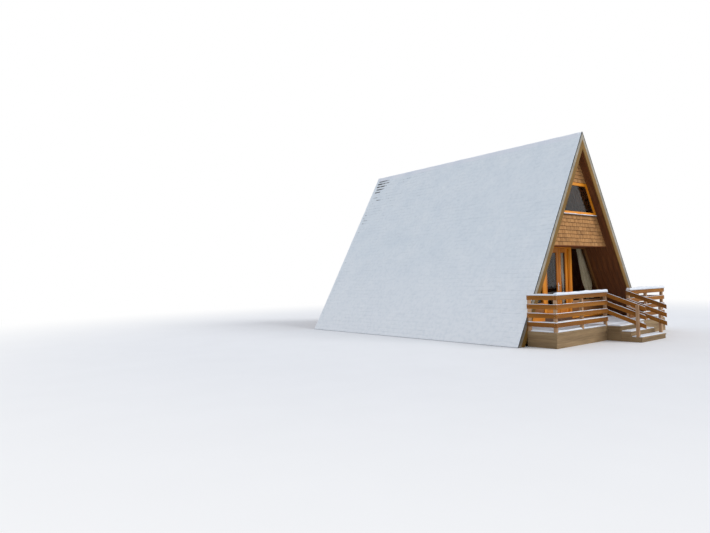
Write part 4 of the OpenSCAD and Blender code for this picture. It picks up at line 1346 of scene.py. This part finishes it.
def hinges():
    """Hinge halves on posts and leaves, with their pins inside."""
    post, leaves = Boards(51), {"main_leaf": Boards(52), "side_leaf": Boards(53)}
    spots = {"cabin": [], "main_leaf": [], "side_leaf": []}
    tall, length = LEAF_HIGH - LEAF_LOW, 0.11
    radius, flap, thick = 0.008, 0.043, 0.004
    y, face = Y_WALL_IN, Y_WALL_IN + thick + HAIR
    axis_y = y + 0.009
    for up in (length, (tall - length) / 2, tall - 2 * length):
        low = LEAF_LOW + up
        high = low + length
        below, above = low + length / 2 - HAIR, low + length / 2 + HAIR
        for side, body in ((-1, "main_leaf"), (1, "side_leaf")):
            x = side * 0.657
            post.tube(x, axis_y, low, below, radius)
            out = sorted((x, x + side * flap))
            post.plank(box(*out, y, y + thick, low, below))
            leaves[body].tube(x, axis_y, above, high, radius)
            into = sorted((x, x - side * flap))
            leaves[body].plank(box(*into, y, y + thick, above, high))
            for dx in (0.018, 0.034):
                for dz in (0.014, 0.04):
                    spots["cabin"].append(((x + side * dx, face, low + dz), (0, 1, 0)))
                    spots[body].append(((x - side * dx, face, above + dz), (0, 1, 0)))
    post.piece("post_hinges", "cabin", "handle_metal", [STEEL], (), 0.0006)
    for body, boards in leaves.items():
        boards.piece(body + "_hinges", body, "handle_metal", [STEEL], (), 0.0006)
    for body, found in spots.items():
        screws(body + "_hinge_screws", body, found, 0.003, 0.001)


def doors():
    """Both leaves, the furniture of the wide one, and the hinges."""
    leaf("main_leaf", "main_door", -0.654, 0.129, 0.11, 54)
    leaf("side_leaf", "side_door", 0.139, 0.654, 0.13, 56)
    dressed("door_plates", "handle_plates", ALUMINIUM, 0.0015)
    dressed("door_lever", "handle_lever", ALUMINIUM, 0.002)
    # The lever's spindle, across and up, and the plates' thickness
    spindle_x, spindle_z, plate = 0.084, 1.575, 0.0085
    spots = []
    for y, way in ((LEAF_Y - plate, -1), (LEAF_Y_IN + plate, 1)):
        for dz in (0.068, -0.152):
            spots.append(((spindle_x, y, spindle_z + dz), (0, way, 0)))
    screws("plate_screws", "main_leaf", spots, 0.004, 0.0015)
    hinges()


# Deck, rails, steps

# Half widths of deck and porch, thickness of a board, side of a post, and height of a step
DECK_HALF, PORCH_HALF = 3.21, 3.106
BOARD, POST_SIZE, RISER = 0.028, 0.08, 0.14
# Top of the rails, height of a rail board, and distance from one to the next
RAIL_TOP, RAIL_HIGH, RAIL_PITCH = 1.39, 0.12, 0.24
# Left and right side of the steps, and where each front rail starts
STAIR = (-0.53, 0.81)
STAIR_SIDES = ((1, STAIR[1]), (-1, -STAIR[0]))
# Both ends of the sloping rails, and how far they fall
STAIR_HEAD, STAIR_FOOT, STAIR_DROP = Y_DECK + 0.108, Y_LOWEST - 0.07, 0.415


def decking():
    """Boards of the deck and of the porch, and the skirt round the deck's edge."""
    rows, gap = 7, 0.005
    deck = board_row(2 * DECK_HALF, (Y_FRONT - Y_DECK) / rows, BOARD, gap, rows, 61, DECKING)
    deck = shaped(deck, Matrix.Translation((-DECK_HALF, Y_DECK, DECK)))
    finished("deck_boards", deck, "cabin", ["deck"], 0.003, segments=1)
    rows = 8
    porch = board_row(2 * PORCH_HALF, (Y_WALL - Y_FRONT) / rows, BOARD, gap, rows, 62, DECKING)
    porch = shaped(porch, Matrix.Translation((-PORCH_HALF, Y_FRONT, DECK)))
    finished("porch_boards", porch, "cabin", (), 0.003, segments=1)
    skirt, thick = Boards(63), 0.024
    for z0, z1 in bands(0, DECK - BOARD, 3):
        z0 += 0.001
        skirt.plank(box(-DECK_HALF, DECK_HALF, Y_DECK, Y_DECK + thick, z0, z1))
        side = box(DECK_HALF - thick, DECK_HALF, Y_DECK + thick + HAIR, Y_FRONT, z0, z1, "y")
        skirt.planks(side, both=True)
    skirt.piece("skirt_boards", "cabin", "deck_wood", [STEP], ["deck_skirt"], 0.003)


def front_posts(start):
    """Inner sides of the three posts of one front rail, from the steps outwards."""
    corner = DECK_HALF - BOARD - POST_SIZE
    return start, (start + corner) / 2, corner


def stair_rail_top(y):
    """Height of the sloping rails' upper edge."""
    return RAIL_TOP - (STAIR_HEAD - y) * STAIR_DROP / (STAIR_HEAD - STAIR_FOOT)


def rails():
    """Level rails on the deck, and sloping ones beside the steps."""
    boards, spots = Boards(64), []
    y_in = Y_DECK + BOARD
    for side, start in STAIR_SIDES:
        how = same if side == 1 else mirrored
        for i in range(4):
            top = RAIL_TOP - RAIL_PITCH * i
            low = top - RAIL_HIGH
            boards.plank(how(box(start, DECK_HALF, Y_DECK, y_in, low, top)))
            end = (DECK_HALF - BOARD, DECK_HALF, y_in + HAIR, Y_FRONT - HAIR, low, top)
            boards.plank(how(box(*end, "y")))
            for z in (top - 0.03, top - 0.09):
                for x in front_posts(start):
                    spots.append(((side * (x + POST_SIZE / 2), Y_DECK - HAIR, z), (0, -1, 0)))
                for y in (Y_DECK + 0.06, Y_FRONT - 0.045):
                    spots.append(((side * (DECK_HALF + HAIR), y, z), (side, 0, 0)))
        for x in front_posts(start):
            post = (x, x + POST_SIZE, y_in, y_in + POST_SIZE, DECK, RAIL_TOP)
            boards.plank(how(box(*post, "z")), 1)
        # The side rail's other post stands in line with the corner post
        y = Y_FRONT - HAIR
        boards.plank(how(box(x, x + POST_SIZE, y - POST_SIZE, y, DECK, RAIL_TOP, "z")), 1)
    boards.piece(
        "rail_timbers", "cabin", "rail_wood", [RAIL, POST],
        ["front_rail_left", "front_rail_right", "side_rails"], 0.004,
    )
    stair = Boards(65)
    for x, out in ((STAIR[0], -1), (STAIR[1], 1)):
        x_in = x - out * BOARD
        for i in range(3):
            drop = RAIL_PITCH * i
            foot, head = stair_rail_top(STAIR_FOOT) - drop, RAIL_TOP - drop
            stair.plank(
                flat_x(
                    (STAIR_FOOT, foot), (STAIR_FOOT, foot - RAIL_HIGH),
                    (STAIR_HEAD, head - RAIL_HIGH), (STAIR_HEAD, head), *sorted((x, x_in)),
                )
            )
            for z in (-0.035, -0.085):
                for y in (Y_LOWEST + 0.13, Y_DECK + 0.068):
                    place = (x_in - out * HAIR, y, stair_rail_top(y) - drop + z)
                    spots.append((place, (-out, 0, 0)))
        y = Y_LOWEST + 0.09
        post = (*sorted((x, x + out * POST_SIZE)), y, y + POST_SIZE, RISER, stair_rail_top(y) - HAIR)
        stair.plank(box(*post, "z"), 1)
    stair.piece("stair_rail_timbers", "cabin", "rail_wood", [RAIL, POST], ["stair_rails"], 0.004)
    screws("rail_screws", "cabin", spots, 0.006, 0.003)


def steps():
    """Platform and two lower steps, each a box of boards."""
    boards, spots = Boards(66), []
    x0, x1 = STAIR[0] - POST_SIZE, STAIR[1] + POST_SIZE
    tread, side, gap = 0.032, 0.024, 0.002
    for y0, y1, top, count in (
        (Y_PLATFORM, Y_DECK, DECK, 3),
        (Y_MIDDLE, Y_PLATFORM + 0.02, DECK - RISER, 2),
        (Y_LOWEST, Y_MIDDLE + 0.02, DECK - 2 * RISER, 2),
    ):
        under = top - tread
        width = (y1 - y0) / count
        for i in range(count):
            y = y0 + width * i
            boards.plank(box(x0, x1, y + gap * (i > 0), y + width - gap, under, top))
            for x in (x0 + side / 2, x1 - side / 2):
                for k in (0.25, 0.75):
                    spots.append(((x, y + width * k, top + HAIR), (0, 0, 1)))
        boards.plank(box(x0, x1, y0 + 0.02, y0 + 0.02 + side, 0, under))
        for x in (x0, x1 - side):
            boards.plank(box(x, x + side, y0 + 0.02 + side, y1, 0, under, "y"))
    boards.piece(
        "step_timbers", "cabin", "step_wood", [STEP],
        ["stair_platform", "step_middle", "step_lowest"], 0.004,
    )
    screws("step_screws", "cabin", spots, 0.005, 0.0015)


def deck_snow():
    """Snow on deck and steps, thinner where the porch shelters it."""
    deck = Drift()
    y = np.concatenate(
        [
            np.linspace(Y_DECK + 0.012, Y_FRONT, 30),
            np.linspace(Y_FRONT + 0.03, Y_WALL - 0.012, 34),
        ]
    )
    share, yy = np.meshgrid(np.linspace(-1, 1, 190), y, indexing="ij")
    half = np.where(yy < Y_FRONT + 0.001, DECK_HALF - 0.012, PORCH_HALF - 0.016)
    x = share * half
    edge = np.minimum((1 - np.abs(share)) * half, np.minimum(yy - y[0], y[-1] - yy))
    depth = np.interp(yy, [Y_FRONT - 0.2, Y_FRONT + 0.5, Y_WALL], [0.042, 0.03, 0.016])
    # The layer keeps this far from each post
    away = 0.004
    y_in = Y_DECK + BOARD
    posts = []
    for side, start in STAIR_SIDES:
        for x_in in front_posts(start):
            ends = sorted((side * (x_in - away), side * (x_in + POST_SIZE + away)))
            posts.append((*ends, y_in - away, y_in + POST_SIZE + away))
        posts.append((*ends, Y_FRONT - 0.085, Y_FRONT + away))
    base = np.full_like(x, DECK + HAIR)
    deck.sheet(x, yy, base, edge, depth, 0.05, 71, keep_out=posts, rough=0.22, size=0.5)
    for inset, y0, y1, z, deep, roll, seed in (
        (0.01, Y_PLATFORM + 0.02, Y_DECK + 0.006, DECK, 0.032, 0.035, 72),
        (0.012, Y_MIDDLE + 0.03, Y_PLATFORM + 0.016, DECK - RISER, 0.026, 0.03, 73),
        (0.012, Y_LOWEST + 0.034, Y_MIDDLE + 0.016, DECK - 2 * RISER, 0.028, 0.03, 74),
    ):
        x0, x1 = STAIR[0] - POST_SIZE + inset, STAIR[1] + POST_SIZE - inset
        deck.pad(x0, x1, y0, y1, z + HAIR, deep, roll, seed)
    deck.piece("deck_snow")


def rail_snow():
    """Caps on the level rails and posts, and a thin line on the sloping rails."""
    caps = Drift()
    mid, half_board = Y_DECK + BOARD / 2, BOARD / 2
    cap = {"rough": 0.32, "size": 0.7, "square": 3}
    line = {"rough": 0.6, "size": 0.35}
    # From the top board down: depth in front, depth at the sides, half the width, and form
    boards = (
        (0.08, 0.045, 0.04, cap),
        (0.009, 0.009, half_board, line),
        (0.015, 0.015, half_board, line),
        (0.024, 0.024, half_board, line),
    )
    spans = ((-DECK_HALF - 0.012, STAIR[0] + 0.004), (STAIR[1] - 0.004, DECK_HALF + 0.012))
    for i, (front_deep, side_deep, wide, form) in enumerate(boards):
        z = RAIL_TOP - RAIL_PITCH * i + HAIR
        for j, (a, b) in enumerate(spans):
            place = (a, b, mid - wide, mid + wide, z)
            caps.pad(*place, front_deep, wide, 80 + 2 * i + j, 0.025, **form)
        for j, side in enumerate((-1, 1)):
            x = side * (DECK_HALF - half_board)
            place = (x - wide, x + wide, Y_DECK + 0.03, Y_FRONT - 0.02, z)
            caps.pad(*place, side_deep, wide, 90 + 2 * i + j, 0.025, **form)
    half = POST_SIZE / 2
    middles = [side * (x + half) for side, start in STAIR_SIDES for x in front_posts(start)]
    half, z = half + 0.002, RAIL_TOP + HAIR
    # Front posts, and then the side rails' posts in line with both corners
    for k, x in enumerate(middles):
        place = (x - half, x + half, Y_DECK + 0.03, Y_DECK + 0.112, z)
        caps.pad(*place, 0.07, 0.04, 100 + k, 0.014)
    for k, x in enumerate((middles[-1], middles[2])):
        place = (x - half, x + half, Y_FRONT - 0.083, Y_FRONT - 0.003, z)
        caps.pad(*place, 0.042, 0.04, 106 + k, 0.014)
    caps.piece("rail_snow")
    slope = Drift()
    along = np.linspace(STAIR_FOOT + 0.004, STAIR_HEAD - 0.008, 50)
    for x in (STAIR[0] + half_board, STAIR[1] - half_board):
        across = np.linspace(x - 0.012, x + 0.012, 6)
        xx, yy = np.meshgrid(across, along, indexing="ij")
        for i in range(3):
            z = stair_rail_top(yy) - RAIL_PITCH * i + HAIR
            edge = edge_of(across, along)
            slope.sheet(xx, yy, z, edge, 0.012, 0.012, 120 + i, rough=0.9, size=0.2)
    slope.piece("stair_rail_snow")


def ledge_snow():
    """Thin snow on the ledges of both gables and on the back sills."""
    ledge = Drift()
    half = slope_x(UPPER, INSIDE) - 0.01
    rims = ((Y_PANEL - 0.022, Y_PANEL - 0.001), (Y_GABLE + 0.001, Y_GABLE + 0.022))
    for k, (y0, y1) in enumerate(rims):
        ledge.pad(-half, half, y0, y1, UPPER + HAIR, 0.022, 0.011, 130 + k, 0.01, rough=0.5)
    for k, x in enumerate(BACK_WINDOWS):
        place = (x - 0.52, x + 0.52, Y_GABLE + 0.002, Y_GABLE + 0.034, BACK_SILL + HAIR)
        ledge.pad(*place, 0.02, 0.014, 132 + k, 0.01, rough=0.5)
    ledge.piece("ledge_snow")


# Curtains


def pleated(name, levels, y_mid, pleats, side):
    """Cloth that hangs in pleats: each level gives height, inner edge, outer edge and depth.
    Returns the mesh, and for each of its rows the way down the cloth and the four measures."""
    z, a, b, deep = (np.array(v) for v in zip(*levels))
    down = np.concatenate([[0], np.cumsum(-np.diff(z))])
    rows, cols = 64, pleats * 12 + 1
    t = np.linspace(0, down[-1], rows)
    measures = [np.interp(t, down, v) for v in (z, a, b, deep)]
    for k in (1, 2, 3):
        padded = np.pad(measures[k], 3, mode="edge")
        measures[k] = np.convolve(padded, np.ones(7) / 7, mode="valid")
    z, a, b, deep = measures
    s = np.linspace(0, 1, cols)
    rng = np.random.default_rng(sum(map(ord, name)))
    phase = np.cumsum(rng.uniform(0.75, 1.25, cols))
    phase = (phase - phase[0]) / (phase[-1] - phase[0]) * 2 * np.pi * pleats
    strength = np.interp(s, np.linspace(0, 1, pleats), rng.uniform(0.65, 1.0, pleats))
    # Main folds, a broad sway, and a fine ripple that grows towards the hem
    fold = (np.sin(phase) * strength + 0.4 * np.sin(phase / 3.1 + 1.0))[None, :]
    hem = 0.18 * np.sin(2.3 * phase + 1.0)[None, :] * np.linspace(0, 1, rows)[:, None]
    y = y_mid + deep[:, None] * (fold + hem)
    x = a[:, None] + (b - a)[:, None] * s + 0.22 * deep[:, None] * np.cos(phase)[None, :]
    verts = np.stack([side * x, y, np.repeat(z[:, None], cols, 1)], -1)
    mesh = bpy.data.meshes.new(name)
    index = np.arange(rows * cols).reshape(rows, cols)
    mesh.from_pydata(verts.reshape(-1, 3).tolist(), [], grid_faces(index))
    # The threads follow the cloth's own length across and down
    arc = np.concatenate([[0], np.cumsum(np.linalg.norm(np.diff(verts[4], axis=0), axis=1))])
    corner = np.zeros(len(mesh.loops), np.int32)
    mesh.loops.foreach_get("vertex_index", corner)
    maps = np.stack([arc[corner % cols], t[corner // cols]], -1).ravel()
    mesh.uv_layers.new(name="grain").data.foreach_set("uv", maps)
    return mesh, t, measures


def gathered(name, body, nodes, levels, tie, y_mid, pleats, side=1, finish=LINEN):
    """Curtain drawn together at the level tie by a band of the same cloth."""
    mesh, down, (z, a, b, deep) = pleated(name, levels, y_mid, pleats, side)
    mesh.materials.append(finish)
    cloth_piece = finished(name, mesh, body, nodes, smooth=True)
    thick = cloth_piece.modifiers.new("cloth_thickness", "SOLIDIFY")
    thick.thickness, thick.offset = 0.0012, 0.0
    row = np.argmin(np.abs(down - (levels[0][0] - levels[tie][0])))
    middle, clear = (a[row] + b[row]) / 2, 0.008
    half, bulge = (b[row] - a[row]) / 2 + clear, deep[row] + clear
    band, count = Boards(sum(map(ord, name)) + 1), 28
    # Share of the loop's size and height, round the section of the band
    section = ((0.985, -0.022), (1.0, -0.022), (1.0, 0.022), (0.985, 0.022))
    for k in range(count):
        ends = []
        for angle in (2 * math.pi * k / count, 2 * math.pi * (k + 1) / count):
            across, out = math.cos(angle), math.sin(angle)
            ends.append(
                [
                    (
                        side * (middle + half * across * g),
                        y_mid + bulge * out * g,
                        z[row] + 0.10 * across + dz,
                    )
                    for g, dz in section
                ]
            )
        band.plank(ends)
    mesh = band.mesh(name + "_band", [finish])
    return cloth_piece, finished(name + "_band", mesh, body)


def curtains():
    """Curtains inside the side windows and on the side leaf, each on its rail or rod."""
    rails_up = Boards(141)
    levels = [
        (2.812, 1.48, 1.700, 0.016),
        (2.45, 1.57, 1.912, 0.020),
        (2.05, 1.67, 2.142, 0.021),
        (1.70, 1.77, 2.345, 0.020),
        (1.52, 1.86, 2.400, 0.018),
        (1.36, 2.00, 2.330, 0.020),
        (1.075, 2.00, 2.480, 0.024),
    ]
    for side, name, nodes in ((1, "curtain_right", ["curtains"]), (-1, "curtain_left", ())):
        gathered(name, "cabin", nodes, levels, 5, -3.57, 8, side)
        ends = box(1.27, 1.703, -3.58, -3.56, 2.8125, 2.8245)
        rails_up.plank(ends if side == 1 else mirrored(ends))
    rails_up.piece("curtain_rails", "cabin", "handle_metal", [ALUMINIUM], (), 0.001)
    levels = [
        (2.635, 0.380, 0.515, 0.020),
        (2.3, 0.400, 0.518, 0.020),
        (1.9, 0.44, 0.520, 0.016),
        (1.55, 0.476, 0.522, 0.009),
        (1.35, 0.466, 0.522, 0.014),
        (0.93, 0.44, 0.520, 0.020),
    ]
    y_rod = -3.618
    obj, band = gathered(
        "leaf_curtain_cloth", "side_leaf", ["leaf_curtain"], levels, 3, y_rod, 5, finish=PALE_LINEN
    )
    rods = Boards(142)
    rods.plank(box(0.34, 0.524, y_rod - 0.005, y_rod + 0.005, 2.636, 2.646))
    for x in (0.345, 0.512):
        rods.plank(box(x, x + 0.01, LEAF_Y_IN + HAIR, y_rod, 2.632, 2.649, "y"))
    rods.piece("leaf_curtain_rod", "side_leaf", "handle_metal", [ALUMINIUM], (), 0.001)


# Finishes of the CAD nodes


def finish_nodes():
    """Finishes of the CAD nodes that show as they are."""
    for finish, names in (
        (CONCRETE, ["foundation"]),
        (FLOORING, ["ground_floor"]),
        (CEILING_WOOD, ["upper_floor"]),
        (RAFTER, ["roof_left", "roof_right"]),
        (COVERING, ["covering_left", "covering_right"]),
        (VERGE, ["ridge_cap"]),
        (BEARER, ["deck_bearers"]),
        (
            GLASS,
            [
                "window_glass_front", "main_door_glass", "side_door_glass",
                "upper_window_glass", "back_window_glass",
            ],
        ),
    ):
        for name in names:
            mesh = NODES[name].data
            mesh.materials.clear()
            mesh.materials.append(finish)


# Studio


def bright(tree):
    """White for whatever looks at it, and the share of rays that do: straight, mirrored or bent."""
    rays = add(tree, "ShaderNodeLightPath").outputs
    thrown = [rays["Is Glossy Ray"], rays["Is Transmission Ray"]]
    other = add(tree, "ShaderNodeMath", {"operation": "MAXIMUM"}, thrown)
    return add(tree, "ShaderNodeMath", {"operation": "MAXIMUM"}, [rays["Is Camera Ray"], other])


def studio():
    """White surroundings, one soft key light, and a pale floor."""
    world = bpy.data.worlds.new("studio")
    bpy.context.scene.world = world
    world.use_nodes = True
    tree = world.node_tree
    tree.nodes.clear()
    light = add(tree, "ShaderNodeBackground", inputs={"Color": linear("#F4F7FF"), "Strength": 0.72})
    white = add(tree, "ShaderNodeBackground", inputs={"Color": linear("#FFFFFF"), "Strength": 1.0})
    both = add(tree, "ShaderNodeMixShader", inputs=[bright(tree), light, white])
    add(tree, "ShaderNodeOutputWorld", inputs={"Surface": both})

    key = bpy.data.lights.new("soft_key", "SUN")
    key.energy, key.angle = 1.35, math.radians(25)
    lamp = bpy.data.objects.new("soft_key", key)
    bpy.context.scene.collection.objects.link(lamp)
    lamp.rotation_mode = "QUATERNION"
    lamp.rotation_quaternion = Vector((-0.42, 0.72, -0.55)).to_track_quat("-Z", "Y")

    # Plain floor that takes the shadow, and fades to the white background further out
    made, tree, place = material("pale_studio_floor")
    tone = streaks(tree, place, [0.8] * 3, 0.0, 2.0)
    colour = add(
        tree, "ShaderNodeValToRGB", {"stops": [(0.3, "#EFF0F1"), (0.7, "#F1F2F3")]}, [tone]
    ).outputs[0]
    floor = add(
        tree, "ShaderNodeBsdfPrincipled",
        inputs={"Base Color": colour, "Roughness": 0.9, "Specular IOR Level": 0.1},
    )
    away = add(tree, "ShaderNodeVectorMath", {"operation": "LENGTH"}, [place]).outputs["Value"]
    far = add(
        tree, "ShaderNodeMapRange", {"interpolation_type": "SMOOTHSTEP"},
        {"Value": away, "From Min": 9.0, "From Max": 26.0},
    )
    faded = add(tree, "ShaderNodeMath", {"operation": "MULTIPLY"}, [far, bright(tree)])
    blank = add(tree, "ShaderNodeEmission", inputs={"Color": linear("#FFFFFF"), "Strength": 1.0})
    both = add(tree, "ShaderNodeMixShader", inputs=[faded, floor, blank])
    add(tree, "ShaderNodeOutputMaterial", inputs={"Surface": both})
    mesh = bpy.data.meshes.new("studio_floor")
    size = 160.0
    corners = [(-size, -size, 0), (size, -size, 0), (size, size, 0), (-size, size, 0)]
    mesh.from_pydata(corners, [], [[0, 1, 2, 3]])
    mesh.materials.append(made)
    floor = bpy.data.objects.new("studio_floor", mesh)
    bpy.context.scene.collection.objects.link(floor)


def camera():
    """Camera that was fitted to the photograph, 710 pixels wide."""
    yaw, pitch, roll = (math.radians(v) for v in (38.79, 1.19, -1.52))
    ahead = Vector(
        (math.sin(yaw) * math.cos(pitch), math.cos(yaw) * math.cos(pitch), math.sin(pitch))
    )
    right = Vector((math.cos(yaw), -math.sin(yaw), 0))
    up = right.cross(ahead)
    x = math.cos(roll) * right + math.sin(roll) * up
    y = -math.sin(roll) * right + math.cos(roll) * up
    data = bpy.data.cameras.new("view")
    data.lens, data.sensor_width = 28.714, 36.0
    data.clip_start, data.clip_end = 0.1, 400.0
    place = (-16.49, -13.87, 1.98)
    eye = bpy.data.objects.new("view", data)
    bpy.context.scene.collection.objects.link(eye)
    eye.matrix_world = columns(x, y, -ahead, place)
    bpy.context.scene.camera = eye


camera()
finish_nodes()
verges()
lining()
roof_snow(1, "roof_snow_right")
roof_snow(-1, "roof_snow_left")
ridge_snow()
seals = Boards(40)
panel()
ledges()
gable_windows(seals)
tips()
back_wall()
side_windows(seals)
door_frame()
parapets()
porch_ceiling()
seals.piece("window_seals", "cabin", "handle_metal", [GASKET], (), 0.001)
doors()
decking()
rails()
steps()
deck_snow()
rail_snow()
ledge_snow()
curtains()
studio()
bpy.context.scene.view_settings.view_transform = "Standard"
